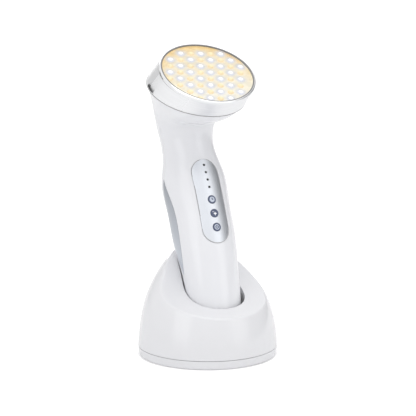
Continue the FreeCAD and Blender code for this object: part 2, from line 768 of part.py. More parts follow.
def end_cap():
    """Foot of the handle with a spigot into the casing and a hole for each charge contact."""
    foot = body_form().common(slab(-FAR, CAP_HEIGHT))
    low_edge = [e for e in foot.Edges if e.BoundBox.ZMax < FOOT_ROUND]
    foot = foot.makeFillet(FOOT_ROUND, low_edge)
    spigot = body_form(-WALL - FIT).common(slab(CAP_FLOOR, CAP_HEIGHT + SPIGOT_LENGTH))
    room = body_form(-WALL - FIT - SPIGOT_WALL).common(slab(CAP_FLOOR, FAR))
    holes = [upright(PAD_R + FIT, spot, -CAP_FLOOR, CAP_FLOOR) for spot in pad_spots()]
    return fuse([foot, spigot]).cut(room).cut(group(holes))


def charge_contacts():
    return group([upright(PAD_R, spot, PAD_SUNK, CAP_FLOOR) for spot in pad_spots()])


# Leads inside the handle, in the handset's frame

def charge_leads():
    back = board_back() + 2 * LEAD_TURN
    leads = []
    for spot in pad_spots():
        low_turn = Vector(spot.x, PAD_Y, BOARD_LOW - 4 * LEAD_TURN)
        high_turn = Vector(spot.x, back, BOARD_LOW - LEAD_TURN)
        end = Vector(spot.x, board_back(), BOARD_LOW + 3 * LEAD_TURN)
        leads.append(routed_tube([spot + Z * CAP_FLOOR, low_turn, high_turn,
                                  Vector(spot.x, back, end.z), end], LEAD_R))
    return group(leads)


def cell_leads():
    axis = Y * cell_y()
    cap_z = CELL_HIGH + CELL_CAP_HEIGHT
    high_z = cap_z + CAP_LEAD_RISE
    front = Y * board_back()
    high = routed_tube([axis + Z * cap_z, axis + Z * high_z, front + Z * high_z], LEAD_R)
    low_z = CELL_LOW - LEAD_TURN
    turn = front + Y * LEAD_TURN
    end_z = CELL_LOW + LEAD_TURN
    low = routed_tube([axis + Z * CELL_LOW, axis + Z * low_z, turn + Z * low_z, turn + Z * end_z,
                       front + Z * end_z], LEAD_R)
    return group([high, low])


def light_cable():
    """Cable from the main board through the neck to the back of the heat spreader."""
    x = SHELL_BOSS_R + 2 * CABLE_R
    start_z = BOARD_HIGH - CABLE_DROP
    back = board_back() + CABLE_BACK
    end = HEAD.multVec(Vector(x, 0, STACK_LOW))
    before = HEAD.multVec(Vector(x, 0, STACK_LOW - CABLE_END))
    return routed_tube([Vector(x, board_back(), start_z), Vector(x, back, start_z),
                        Vector(x, back, BOARD_HIGH + CABLE_RISE), before, end], CABLE_R)


# Cradle pieces, in the row frame

def post_spots():
    turns = [math.radians(angle) for angle in POST_ANGLES]
    return [Vector(math.cos(turn), math.sin(turn), 0) * POST_RING for turn in turns]


def plug_hole():
    return along_y(PLUG_HOLE_R, 0, JACK_HEIGHT, 0, FAR)


def cradle_shell():
    """Bell with a scooped top, the mouth of the socket and four screw posts."""
    bell = bell_form().common(below_scoop())
    rim = [e for e in bell.Edges if e.BoundBox.ZMin > 2 * SEAM_HEIGHT and e.BoundBox.XLength > BASE_R / 2]
    bell = bell.makeFillet(RIM_FILLET, rim)
    hollow = bell_form(CRADLE_WALL).common(below_scoop(CRADLE_WALL))
    shell = bell.cut(hollow).cut(slab(-FAR, SEAM_HEIGHT + CRADLE_SEAM))
    inside = bell_form(CRADLE_WALL / 2).common(below_scoop(CRADLE_WALL / 2))
    posts = [upright(POST_R, spot, SEAM_HEIGHT, FAR).common(inside) for spot in post_spots()]
    feet = [upright(POST_R, spot, BASE_TOP, 2 * SEAM_HEIGHT) for spot in post_spots()]
    shell = fuse([shell] + posts + feet)
    for spot in post_spots():
        shell = shell.cut(upright(POST_SCREW_R + SCREW_FIT, spot, 0.0, POST_SCREW_TOP + TIP_ROOM))
    return shell.cut(placed(socket_form(MOUTH_GAP), SOCKET)).cut(plug_hole())


def base_screws():
    return group([headed_screw(POST_SCREW_R, POST_HEAD_R, spot + Z * SCREW_SEAT, spot + Z * POST_SCREW_TOP,
                               POST_HEAD_HEIGHT) for spot in post_spots()])


def inlet_box(grow=0.0):
    """Housing of the power inlet, larger by a distance at its sides, top and back."""
    top = JACK_HEIGHT + JACK_TOP
    back = reach_y(bell_form(CRADLE_WALL), JACK_WIDTH / 2, top, front=False) - JACK_GAP
    half = JACK_WIDTH / 2 + grow
    return box((-half, back - JACK_LENGTH - grow, BASE_TOP), (half, back + grow, top + grow))


def cradle_base():
    """Tray under the bell with a lip inside it."""
    base = Part.makeCone(BASE_R, SEAM_R, SEAM_HEIGHT - BASE_LOW, Z * BASE_LOW)
    low_edge = [e for e in base.Edges if e.BoundBox.ZMax < BASE_TOP]
    base = base.makeFillet(BASE_ROUND, low_edge)
    lip_top = SEAM_HEIGHT + LIP_HEIGHT
    lip_r = -reach_y(bell_form(CRADLE_WALL), 0, lip_top) - FIT
    base = fuse([base, upright(lip_r, ORIGIN, BASE_TOP, lip_top)])
    base = base.cut(upright(lip_r - LIP_WALL, ORIGIN, BASE_TOP, FAR))
    base = base.cut(upright(SHEET_R + FIT, ORIGIN, 0.0, SHEET_THICK))
    for spot in post_spots():
        base = base.cut(upright(POST_SCREW_R + FIT, spot, 0.0, BASE_TOP))
        base = base.cut(upright(POST_HEAD_R + FIT, spot, 0.0, SCREW_SEAT))
    return base.cut(inlet_box(FIT)).cut(plug_hole())


def power_inlet():
    jack = inlet_box()
    return jack.cut(along_y(JACK_BORE_R, 0, JACK_HEIGHT, jack.BoundBox.YMax - JACK_BORE_DEPTH, FAR))


def inlet_pin():
    start = inlet_box().BoundBox.YMax - JACK_BORE_DEPTH
    return along_y(JACK_PIN_R, 0, JACK_HEIGHT, start, start + JACK_PIN_LENGTH)


def inlet_leads():
    """Leads from the inlet along the base's floor to the charge board."""
    jack_front = inlet_box().BoundBox.YMin
    run_z = BASE_TOP + LEAD_R + LEAD_LIFT
    start_z = BASE_TOP + LEAD_START
    leads = []
    for spot in pad_spots():
        x = spot.x / 2
        end = SOCKET.multVec(Vector(x, PAD_Y + CRADLE_BOARD_BEHIND / 2, CRADLE_BOARD_LOW))
        before = SOCKET.multVec(Vector(x, PAD_Y + CRADLE_BOARD_BEHIND / 2, CRADLE_BOARD_LOW - LEAD_TURN / 2))
        points = [Vector(end.x, jack_front, start_z), Vector(end.x, jack_front - LEAD_TURN, start_z),
                  Vector(end.x, jack_front - 2 * LEAD_TURN, run_z),
                  Vector(end.x, before.y + LEAD_TURN, run_z), before, end]
        leads.append(routed_tube(points, LEAD_R))
    return group(leads)


# Socket pieces, in the socket's frame

def cradle_boss_spots():
    return [Vector(side * CRADLE_BOSS_X, PAD_Y - CRADLE_BOSS_AHEAD, 0) for side in (-1, 1)]


def charge_socket():
    """Cup that takes the handle, with a hole for each charge pin and bosses for the board."""
    cup = socket_form(SOCKET_GAP + SOCKET_WALL).common(slab(FLOOR_LOW, FAR))
    cup = cup.cut(socket_form(SOCKET_GAP).common(slab(FLOOR_TOP, FAR)))
    bosses = [upright(CRADLE_BOSS_R, spot, CRADLE_BOARD_TOP, FLOOR_LOW) for spot in cradle_boss_spots()]
    cup = fuse([cup] + bosses)
    holes = [upright(SMALL_SCREW_R + SCREW_FIT, spot, CRADLE_BOARD_TOP, FLOOR_LOW + TIP_ROOM)
             for spot in cradle_boss_spots()]
    holes += [upright(PIN_R + FIT, spot, FLOOR_LOW, FLOOR_TOP) for spot in pad_spots()]
    inside = bell_form(CRADLE_WALL).common(below_scoop(CRADLE_WALL))
    return cup.cut(group(holes)).common(placed(inside, SOCKET.inverse()))


def cradle_board():
    board = box((-CRADLE_BOARD_HALF, PAD_Y - CRADLE_BOARD_AHEAD, CRADLE_BOARD_LOW),
                (CRADLE_BOARD_HALF, PAD_Y + CRADLE_BOARD_BEHIND, CRADLE_BOARD_TOP))
    holes = [upright(SMALL_SCREW_R + FIT, spot, CRADLE_BOARD_LOW, CRADLE_BOARD_TOP)
             for spot in cradle_boss_spots()]
    holes += [upright(BARREL_R + SCREW_FIT, spot, CRADLE_BOARD_LOW, CRADLE_BOARD_TOP) for spot in pad_spots()]
    return board.cut(group(holes))


def cradle_board_screws():
    return group([headed_screw(SMALL_SCREW_R, SMALL_HEAD_R, spot + Z * CRADLE_BOARD_LOW, spot + Z * FLOOR_LOW,
                               SMALL_HEAD_HEIGHT) for spot in cradle_boss_spots()])


def pin_barrels():
    barrels = []
    for spot in pad_spots():
        barrel = upright(BARREL_R, spot, BARREL_LOW, FLOOR_LOW)
        barrels.append(barrel.cut(upright(PIN_R + PIN_FIT, spot, BARREL_LOW + BARREL_FLOOR, FLOOR_LOW)))
    return group(barrels)


def charge_pin(spot):
    return rounded_cylinder(PIN_R, spot + Z * PIN_LOW, spot + Z * PIN_TIP, PIN_ROUND)


head_pieces = {
    "head_band": head_band(),
    "face_lens": disc(LENS_R, LENS_TOP, LENS_THICK),
    "light_tray": light_tray(),
    "white_lights": lights("white"),
    "amber_lights": lights("amber"),
    "light_board": disc(LED_BOARD_R, LED_BOARD_TOP, LED_BOARD_THICK),
    "heat_spreader": disc(LED_BOARD_R, SPREADER_TOP, SPREADER_THICK),
}
handset_pieces = {
    "front_shell": front_shell(),
    "rear_shell": rear_shell(),
    "chin_cover": chin_cover(),
    "end_cap": end_cap(),
    "left_grip": grip(-1),
    "right_grip": grip(1),
    "control_panel": control_panel(),
    "indicator_pipes": indicator_pipes(),
    "indicator_lights": indicator_lights(),
    "main_board": main_board(),
    "board_screws": board_screws(),
    "button_switches": button_switches(),
    "battery_cell": battery_cell(),
    "shell_screws": shell_screws(),
    "charge_contacts": charge_contacts(),
    "charge_leads": charge_leads(),
    "cell_leads": cell_leads(),
    "light_cable": light_cable(),
}
for name, height in zip(BUTTON_NAMES, BUTTON_HEIGHTS):
    handset_pieces[name] = button(height)
socket_pieces = {
    "charge_socket": charge_socket(),
    "cradle_board": cradle_board(),
    "cradle_board_screws": cradle_board_screws(),
    "pin_barrels": pin_barrels(),
}
for name, spot in zip(("left_charge_pin", "right_charge_pin"), pad_spots()):
    socket_pieces[name] = charge_pin(spot)
cradle_pieces = {
    "cradle_shell": cradle_shell(),
    "cradle_base": cradle_base(),
    "anti_slip_pad": upright(SHEET_R, ORIGIN, 0.0, SHEET_THICK),
    "base_screws": base_screws(),
    "power_inlet": power_inlet(),
    "inlet_pin": inlet_pin(),
    "inlet_leads": inlet_leads(),
}
for pieces, frames in ((head_pieces, (HEAD, HANDSET)), (handset_pieces, (HANDSET,)),
                       (socket_pieces, (SOCKET,)), (cradle_pieces, ())):
    for node, shape in pieces.items():
        placed(shape, *frames).exportStep("parts/" + node + ".step")
        print(node, "solids", len(shape.Solids), "volume", round(shape.Volume, 1), "valid", shape.isValid())
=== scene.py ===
"""Looks of a light therapy wand standing in its charging cradle.

Metres, in the part's own frame: +Z up, the front of the wand faces -Y, and the mirror plane is
X = 0. The handset's own frame has Z along its handle, and the head's frame has Z out of its face.
"""
import math

import bpy
import numpy as np
from bpy.props import FloatProperty, FloatVectorProperty, PointerProperty
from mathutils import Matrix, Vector


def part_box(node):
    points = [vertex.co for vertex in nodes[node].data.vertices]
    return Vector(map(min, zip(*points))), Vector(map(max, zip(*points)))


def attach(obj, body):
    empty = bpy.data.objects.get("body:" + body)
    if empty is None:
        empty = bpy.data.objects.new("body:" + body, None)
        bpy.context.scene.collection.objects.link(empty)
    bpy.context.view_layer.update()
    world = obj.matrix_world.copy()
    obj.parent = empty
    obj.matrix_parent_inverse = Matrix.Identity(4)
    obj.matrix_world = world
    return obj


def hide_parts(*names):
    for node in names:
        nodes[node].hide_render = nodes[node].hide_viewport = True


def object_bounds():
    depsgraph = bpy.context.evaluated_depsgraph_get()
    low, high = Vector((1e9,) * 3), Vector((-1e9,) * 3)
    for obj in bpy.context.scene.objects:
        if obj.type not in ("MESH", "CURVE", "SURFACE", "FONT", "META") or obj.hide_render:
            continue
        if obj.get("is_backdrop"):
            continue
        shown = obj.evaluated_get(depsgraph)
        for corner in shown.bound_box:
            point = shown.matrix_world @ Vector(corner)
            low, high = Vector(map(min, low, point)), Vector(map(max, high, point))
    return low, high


bl_info = {
    "name": "Light therapy wand",
    "version": (1, 0, 0),
    "blender": (4, 5, 0),
    "location": "View3D > Sidebar > Wand",
    "description": "Dresses a light therapy wand and its charging cradle",
    "category": "Object",
}

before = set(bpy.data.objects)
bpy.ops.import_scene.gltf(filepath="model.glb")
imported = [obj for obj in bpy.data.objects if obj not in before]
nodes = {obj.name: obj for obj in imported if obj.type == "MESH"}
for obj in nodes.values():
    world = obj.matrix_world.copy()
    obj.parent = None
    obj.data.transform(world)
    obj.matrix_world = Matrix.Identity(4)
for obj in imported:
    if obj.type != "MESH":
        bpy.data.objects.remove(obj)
cad_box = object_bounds()
MM = 0.001

# Frames of the handset and its head: turns about X and places in the mirror plane

LEAN = math.radians(24.0)
HANDLE_FOOT = np.array([0.0, -20.4, 16.6]) * MM
FACE_TURN = math.radians(90.0 - 37.9)
FACE_CENTRE = np.array([0.0, -46.9, 155.3]) * MM


def turn_x(angle):
    """Rotation about X as a matrix."""
    c, s = math.cos(angle), math.sin(angle)
    return np.array([[1, 0, 0], [0, c, -s], [0, s, c]])


HANDSET_TURN = turn_x(-LEAN)
HEAD_TURN = turn_x(FACE_TURN - LEAN)
HEAD_CENTRE = HANDSET_TURN @ FACE_CENTRE + HANDLE_FOOT


def from_handset(points):
    """Handset frame to the part's frame."""
    return points @ HANDSET_TURN.T + HANDLE_FOOT


def to_handset(points):
    """The part's frame to the handset frame."""
    return (points - HANDLE_FOOT) @ HANDSET_TURN


def from_head(points):
    """Head frame to the part's frame."""
    return points @ HEAD_TURN.T + HEAD_CENTRE


# Sizes and colours that a user would change

def length(label, description, millimetres):
    """Length setting, its default in millimetres."""
    return FloatProperty(name=label, description=description, default=millimetres * MM,
                         unit="LENGTH")


def angle(label, description, degrees):
    """Angle setting, its default in degrees."""
    return FloatProperty(name=label, description=description, default=math.radians(degrees),
                         subtype="ANGLE")


def power(label, description, watts):
    """Setting of a lamp's power."""
    return FloatProperty(name=label, description=description, default=watts, unit="POWER")


def colour(label, description, value):
    """Colour setting."""
    return FloatVectorProperty(name=label, description=description, default=value,
                               subtype="COLOR", min=0.0, max=1.0)


class HeadSizes(bpy.types.PropertyGroup):
    """Metal band, lens and lights of the head."""
    rim_radius: length("Rim radius", "Outside of the rolled rim", 30.3)
    rim_height: length("Rim height", "Height of the rolled rim", 2.8)
    rim_round: length("Rim rounding", "Outer rounding of the rolled rim", 0.9)
    rim_step: length("Rim step", "How far the band stands back from the rim", 0.6)
    edge_width: length("Edge half width", "Half width of the oval at the band's lower edge", 30.7)
    edge_slope: length("Edge half slope", "Half length of that oval up the slope", 33.9)
    edge_depth: length("Edge depth", "Middle of the lower edge below the rim's top", 19.1)
    edge_shift: length("Edge shift", "How far the lower edge sits up the slope", 7.8)
    edge_tilt: angle("Edge tilt", "Between the lower edge and the face", 8.3)
    edge_round: length("Edge rounding", "Rounding of the band's lower edge", 0.35)
    band_wall: length("Band wall", "Thickness of the band", 1.5)
    lens_radius: length("Lens radius", "Radius of the clear lens", 29.2)
    lens_sunk: length("Lens depth", "Lens below the top of the rim", 0.6)
    lens_thick: length("Lens thickness", "Thickness of the clear lens at its edge", 0.6)
    lens_crown: length("Lens crown", "Rise of the lens in its middle", 0.4)
    lens_fit: length("Lens fit", "Gap round the lens", 0.15)
    # The dark ring inside the rim is painted shade and dark reflection along the rim's inner edge
    rim_shade_width: length("Gasket width", "Width of the dark gasket inside the rim", 0.85)
    rim_shade_top: length("Gasket depth", "Gasket below the top of the rim", 0.03)
    # The grey seam lines paint the shade in the groove under the rim and in the seam gap under the
    # band
    seam_shade_width: length("Seam width", "Width of the grey seams round the band", 0.4)
    seam_shade_proud: length("Seam height", "How far a seam's filling stands out of the metal", 0.04)
    tray_radius: length("Tray radius", "Radius of the reflector tray under the lens", 28.6)
    tray_wall: length("Tray wall", "Wall round the reflector tray", 0.2)
    tray_cup: length("Cup height", "Height of the ridges between the lights", 0.9)
    row_pitch: length("Row pitch", "Distance between the lights of a row", 6.52)
    row_turn: angle("Row turn", "Angle between the rows and the face's width", -8.0)
    column_pitch: length("Column pitch", "Distance between the lights of a column", 6.73)
    column_turn: angle("Column turn", "Angle between the columns and the face's width", 66.7)
    start_x: length("Start across", "A white light near the middle, across the face", 3.18)
    start_y: length("Start up", "The same light's place up the face", 1.8)
    light_radius: length("Light radius", "Radius of one light's cap", 2.15)
    light_field: length("Light field", "Farthest light from the face's middle", 26.9)
    light_gap: length("Light gap", "Between the lens and the tops of the lights", 0.05)
    light_height: length("Light height", "Height of one light's cap", 1.8)


class PanelSizes(bpy.types.PropertyGroup):
    """Control panel and buttons, in the handset's frame."""
    mid: length("Middle", "Middle of the panel above the handle's lower end", 80.8)
    height: length("Length", "Length of the panel", 53.8)
    width: length("Width", "Width of the panel", 17.8)
    # The grey line round the panel is painted shade of the gap at its edge
    panel_shade_width: length("Seal width", "Width of the grey line round the panel", 0.34)
    dial_radius: length("Dial radius", "Pale dial on a button", 1.7)
    mark_width: length("Mark width", "Line width of the marks on the buttons", 0.6)
    mark_height: length("Mark height", "Height of the marks above a button", 0.06)


class FinishColours(bpy.types.PropertyGroup):
    """Colours of the visible finishes."""
    casing: colour("Casing", "Moulded white of the handset", (0.84, 0.845, 0.875))
    cradle: colour("Cradle", "Moulded white of the cradle", (0.797, 0.799, 0.822))
    socket: colour("Socket", "Lining of the cradle's socket", (0.62, 0.62, 0.63))
    metal: colour("Bright metal", "Polished metal of the head band", (0.90, 0.905, 0.92))
    panel: colour("Panel", "Satin silver of the control panel", (0.715, 0.74, 0.785))
    grip: colour("Grip", "Satin silver of the grip strips", (0.53, 0.56, 0.61))
    button: colour("Button", "Dark blue grey of the buttons", (0.085, 0.105, 0.18))
    dial: colour("Dial", "Pale dials on the buttons", (0.50, 0.54, 0.62))
    # Painted shade of the gap round the panel
    panel_shade: colour("Seal", "Grey line round the panel", (0.46, 0.46, 0.465))
    # Painted shade of the groove under the rim and of the seam under the band
    seam: colour("Seam", "Grey seams of the band", (0.40, 0.40, 0.40))
    # Painted shade and dark reflection inside the rim
    rim_shade: colour("Gasket", "Dark gasket round the lens", (0.22, 0.215, 0.215))
    # The tray's glow is painted light: it stands for the lights' light on the reflector
    reflector: colour("Reflector", "Lit tray between the lights", (0.93, 0.80, 0.54))
    white_light: colour("White light", "Rim of a lit white light", (0.66, 0.68, 0.77))
    amber_light: colour("Amber light", "Rim of a lit amber light", (0.96, 0.76, 0.46))


class StageSettings(bpy.types.PropertyGroup):
    """Camera, lamps and floor."""
    azimuth: angle("Azimuth", "Camera's turn round the object", -26.0)
    elevation: angle("Elevation", "Camera's height above the horizon", 12.0)
    distance: length("Distance", "Camera's distance from its target", 1800.0)
    target: FloatVectorProperty(name="Target", description="Point in the middle of the picture",
                                default=(0.23 * MM, 0.0, 92.51 * MM), subtype="TRANSLATION")
    lens: FloatProperty(name="Focal length", description="Focal length on a 36 mm sensor",
                        default=251.3, unit="CAMERA")
    floor_radius: length("Floor radius", "Radius of the round floor", 6000.0)
    room_light: FloatProperty(name="Room light", default=0.88,
                              description="Strength of the even light of the room")
    key_power: power("Key lamp", "Power of the lamp overhead", 4.7)
    fill_power: power("Fill lamp", "Power of the lamp at the front left", 0.5)
    right_power: power("Right box", "Power of the tall box that polish mirrors at the right", 1.5)
    left_power: power("Left box", "Power of the tall box that polish mirrors at the left", 1.9)
    back_power: power("Back box", "Power of the low box that edges mirror at the back", 5.0)


# Node helpers

PATCH_SCALE = 55.0            # patches of more and less polish
NOISE_SPREAD = (0.3, 0.7)     # where most values of a noise lie
NOISE_MIDDLE = 0.5
FINE_DETAIL, COARSE_DETAIL, STREAK_DETAIL = 2.0, 3.0, 4.0


def feed(tree, node, inputs):
    """Sets a node's inputs, each to a plain value or to another node's socket."""
    for key, value in inputs.items():
        if isinstance(value, bpy.types.NodeSocket):
            tree.links.new(value, node.inputs[key])
        else:
            node.inputs[key].default_value = value


def add(tree, kind, inputs=None, **settings):
    """New node with its settings and then its inputs."""
    made = tree.nodes.new(kind)
    for key, value in settings.items():
        setattr(made, key, value)
    feed(tree, made, inputs or {})
    return made


def math_node(tree, operation, *values):
    """Result of one calculation with values or sockets."""
    return add(tree, "ShaderNodeMath", dict(enumerate(values)), operation=operation).outputs[0]


# A Mix node's sockets go by number, because those for values and for colours have the same names

def mix_value(tree, share, a, b):
    """Value between two others by a share."""
    return add(tree, "ShaderNodeMix", {0: share, 2: a, 3: b}).outputs[0]


def mix_colour(tree, share, a, b):
    """Colour between two others by a share."""
    return add(tree, "ShaderNodeMix", {0: share, 6: a, 7: b}, data_type="RGBA").outputs[2]


def map_range(tree, value, given, wanted=(0.0, 1.0), smooth=False):
    """Value carried from one range to another, held at both ends."""
    inputs = {"Value": value, "From Min": given[0], "From Max": given[1],
              "To Min": wanted[0], "To Max": wanted[1]}
    kind = "SMOOTHSTEP" if smooth else "LINEAR"
    return add(tree, "ShaderNodeMapRange", inputs, interpolation_type=kind).outputs["Result"]


def scaled(tree, tint, gain):
    """Colour times a value."""
    made = add(tree, "ShaderNodeVectorMath", {0: tint, "Scale": gain}, operation="SCALE")
    return made.outputs["Vector"]


def noise(tree, place, scale, detail):
    """Noise at a place, between 0 and 1."""
    inputs = {"Vector": place, "Scale": scale, "Detail": detail}
    return add(tree, "ShaderNodeTexNoise", inputs).outputs["Fac"]


def object_place(tree):
    """Place of a point in its object."""
    return add(tree, "ShaderNodeTexCoord").outputs["Object"]


def attribute(tree, name):
    """Value that the mesh keeps for its points."""
    return add(tree, "ShaderNodeAttribute", attribute_name=name).outputs["Fac"]


def seen_directly(tree):
    """Light path's outputs, and whether the camera sees a point, straight or through glass."""
    light = add(tree, "ShaderNodeLightPath").outputs
    return light, math_node(tree, "MAXIMUM", light["Is Camera Ray"], light["Is Transmission Ray"])


def opaque(tint):
    """Colour with full alpha, as a colour socket takes it."""
    return (*tint, 1.0)


def shader_group(name, inputs, outputs):
    """Empty shader group with named inputs (name, kind, default) and outputs (name, kind)."""
    group = bpy.data.node_groups.new(name, "ShaderNodeTree")
    for label, kind, default in inputs:
        made = group.interface.new_socket(label, in_out="INPUT", socket_type="NodeSocket" + kind)
        made.default_value = default
    for label, kind in outputs:
        group.interface.new_socket(label, in_out="OUTPUT", socket_type="NodeSocket" + kind)
    return group, add(group, "NodeGroupInput").outputs, add(group, "NodeGroupOutput")


def surface_grain_group():
    """Fine moulding grain: a value between Low and High, and a height for a bump."""
    group, given, out = shader_group(
        "surface_grain",
        [("Scale", "Float", 900.0), ("Low", "Float", 0.2), ("High", "Float", 0.3)],
        [("Value", "Float"), ("Height", "Float")])
    place = object_place(group)
    patches = noise(group, place, PATCH_SCALE, COARSE_DETAIL)
    feed(group, out, {
        "Value": map_range(group, patches, NOISE_SPREAD, (given["Low"], given["High"])),
        "Height": noise(group, place, given["Scale"], FINE_DETAIL)})
    return group


def tone_drift_group():
    """Slow change of tone over a surface: the colour made a little lighter and darker."""
    group, given, out = shader_group(
        "tone_drift",
        [("Colour", "Color", (0.8, 0.8, 0.8, 1.0)), ("Amount", "Float", 0.03),
         ("Scale", "Float", 30.0)],
        [("Colour", "Color")])
    drift = noise(group, object_place(group), given["Scale"], FINE_DETAIL)
    centred = math_node(group, "SUBTRACT", drift, NOISE_MIDDLE)
    gain = math_node(group, "MULTIPLY_ADD", centred, given["Amount"], 1.0)
    feed(group, out, {"Colour": scaled(group, given["Colour"], gain)})
    return group


GROUP_MAKERS = {"surface_grain": surface_grain_group, "tone_drift": tone_drift_group}


def shared(tree, name, inputs):
    """Outputs of a shared group, which is built the first time that it is asked for."""
    group = bpy.data.node_groups.get(name) or GROUP_MAKERS[name]()
    return add(tree, "ShaderNodeGroup", inputs, node_tree=group).outputs


def roughened(tree, shader, rough, scale):
    """Gives a shader a roughness between two values, and returns the height of the grain."""
    grain = shared(tree, "surface_grain", {"Scale": scale, "Low": rough[0], "High": rough[1]})
    feed(tree, shader, {"Roughness": grain["Value"]})
    return grain["Height"]


def drifting(tree, tint, amount, scale):
    """Colour that changes its tone slowly over the surface."""
    inputs = {"Colour": tint, "Amount": amount, "Scale": scale}
    return shared(tree, "tone_drift", inputs)["Colour"]


def bump(tree, shader, height, distance):
    """Gives a shader a bump: a height of 1 stands for the distance."""
    made = add(tree, "ShaderNodeBump", {"Height": height, "Distance": distance})
    feed(tree, shader, {"Normal": made.outputs["Normal"]})


def new_material(name):
    """Material with a Principled shader, with its tree and its shader node."""
    material = bpy.data.materials.new(name)
    material.use_nodes = True
    tree = material.node_tree
    return material, tree, tree.nodes["Principled BSDF"]


def finish(name, tint, rough, drift=(0.03, 30.0), grain=(900.0, 2e-6), **constants):
    """Plain finish: drifting colour, roughness between two values, and a fine grain as bump.

    The drift is an amount and a scale, the grain a scale and a height.
    """
    material, tree, shader = new_material(name)
    bump(tree, shader, roughened(tree, shader, rough, grain[0]), grain[1])
    feed(tree, shader, {"Base Color": drifting(tree, opaque(tint), *drift), **constants})
    return material


def dress(material, *names):
    """Gives CAD nodes a material."""
    for name in names:
        slots = nodes[name].data.materials
        slots.clear()
        slots.append(material)


# Mesh helpers: a shape is its points, its quads and its triangles

NO_TRIS = np.zeros((0, 3), int)
UP = np.array([0.0, 0.0, 1.0])
SHOULDER = 0.3    # a plate's bevel as a share of its height


def grid_faces(rows, columns, rows_close=False, columns_close=False):
    """Quads of a grid of points, joined end to end where a direction closes."""
    i = np.arange(rows if rows_close else rows - 1)
    j = np.arange(columns if columns_close else columns - 1)
    i, j = np.meshgrid(i, j, indexing="ij")
    a = i * columns + j
    b = i * columns + (j + 1) % columns
    c = (i + 1) % rows * columns + (j + 1) % columns
    d = (i + 1) % rows * columns + j
    return np.stack([a, b, c, d], axis=-1).reshape(-1, 4)


def ring_shape(rings):
    """Closed band through rings of points, the last joined to the first."""
    rings = np.asarray(rings)
    return rings.reshape(-1, 3), grid_faces(*rings.shape[:2], True, True), NO_TRIS


def capped(rings, first, last):
    """Tube through rings of points (ring, point, xyz), closed at both ends in one point each."""
    count = rings.shape[1]
    points = np.vstack([rings.reshape(-1, 3), [first], [last]])
    step = np.arange(count)
    after = (step + 1) % count
    base = (len(rings) - 1) * count
    low = np.stack([np.full(count, len(points) - 2), after, step], axis=1)
    high = np.stack([np.full(count, len(points) - 1), base + step, base + after], axis=1)
    return points, grid_faces(len(rings), count, columns_close=True), np.vstack([low, high])


def turns(count):
    """Angles evenly round a circle."""
    return np.linspace(0, 2 * np.pi, count, endpoint=False)


def polar(radius, turn):
    """Points in the plane of X and Y from a radius and angles."""
    return np.stack([radius * np.cos(turn), radius * np.sin(turn)], axis=-1)


def turned_rings(profile, count):
    """Rings about Z, one for each radius and height of a profile."""
    radius, height = np.asarray(profile, float).T[..., None]
    turn = turns(count)
    return np.dstack([polar(radius, turn), height + 0 * turn])


def revolved(profile, count):
    """Profile of radius and height turned about Z, closed on the axis at both its ends."""
    rings = turned_rings(profile, count)
    return capped(rings, (0, 0, rings[0, 0, 2]), (0, 0, rings[-1, 0, 2]))


def repeated(shape, places):
    """The same shape at each of several places."""
    points, quads, tris = shape
    starts = np.arange(len(places))[:, None, None] * len(points)
    return ((points + places[:, None, :]).reshape(-1, 3), (quads + starts).reshape(-1, 4),
            (tris + starts).reshape(-1, 3))


def joined(*shapes):
    """Several shapes as one."""
    points, quads, tris = zip(*shapes)
    starts = np.cumsum([0] + [len(own) for own in points[:-1]])
    return (np.vstack(points), np.vstack([own + start for own, start in zip(quads, starts)]),
            np.vstack([own + start for own, start in zip(tris, starts)]))


def moved(shape, place):
    """A shape with its points taken through a function."""
    return place(shape[0]), shape[1], shape[2]


def ribbon(path, up, width, low, high, closed):
    """Bar along a path: edges half a width to each side, at two heights along the up direction."""
    if closed:
        ahead = np.roll(path, -1, axis=0) - np.roll(path, 1, axis=0)
    else:
        ahead = np.gradient(path, axis=0)
    side = np.cross(ahead, up)
    side *= width / 2 / np.linalg.norm(side, axis=1, keepdims=True)
    corners = [path - side + up * high, path + side + up * high,
               path + side + up * low, path - side + up * low]
    quads = grid_faces(len(path), 4, rows_close=closed, columns_close=True)
    if not closed:
        last = 4 * (len(path) - 1) + np.arange(4)
        quads = np.vstack([quads, [3, 2, 1, 0], last])
    return np.stack(corners, axis=1).reshape(-1, 3), quads, NO_TRIS


def stroke(path, width, low, high):
    """Bar with two ends along a path in the plane of X and Y."""
    path = np.asarray(path, float)
    return ribbon(np.column_stack([path, 0 * path[:, 0]]), UP, width, low, high, False)


def mound(outline, low, high, bevel):
    """Plate over an outline round the origin, its upper edge drawn in by a share."""
    levels = ((1.0, low), (1.0, high - (high - low) * SHOULDER), (1.0 - bevel, high))
    rings = np.stack([np.column_stack([outline * share, np.full(len(outline), z)])
                      for share, z in levels])
    return capped(rings, (0, 0, low), (0, 0, high))


def outward(shape):
    """A closed shape with its faces turned outwards, so that its volume is positive."""
    points, quads, tris = shape
    corners = np.vstack([quads[:, [0, 1, 2]], quads[:, [0, 2, 3]], tris])
    a, b, c = (points[corners[:, i]] - points.mean(axis=0) for i in range(3))
    if np.einsum("ij,ij->", a, np.cross(b, c)) < 0:
        return points, quads[:, ::-1], tris[:, ::-1]
    return shape


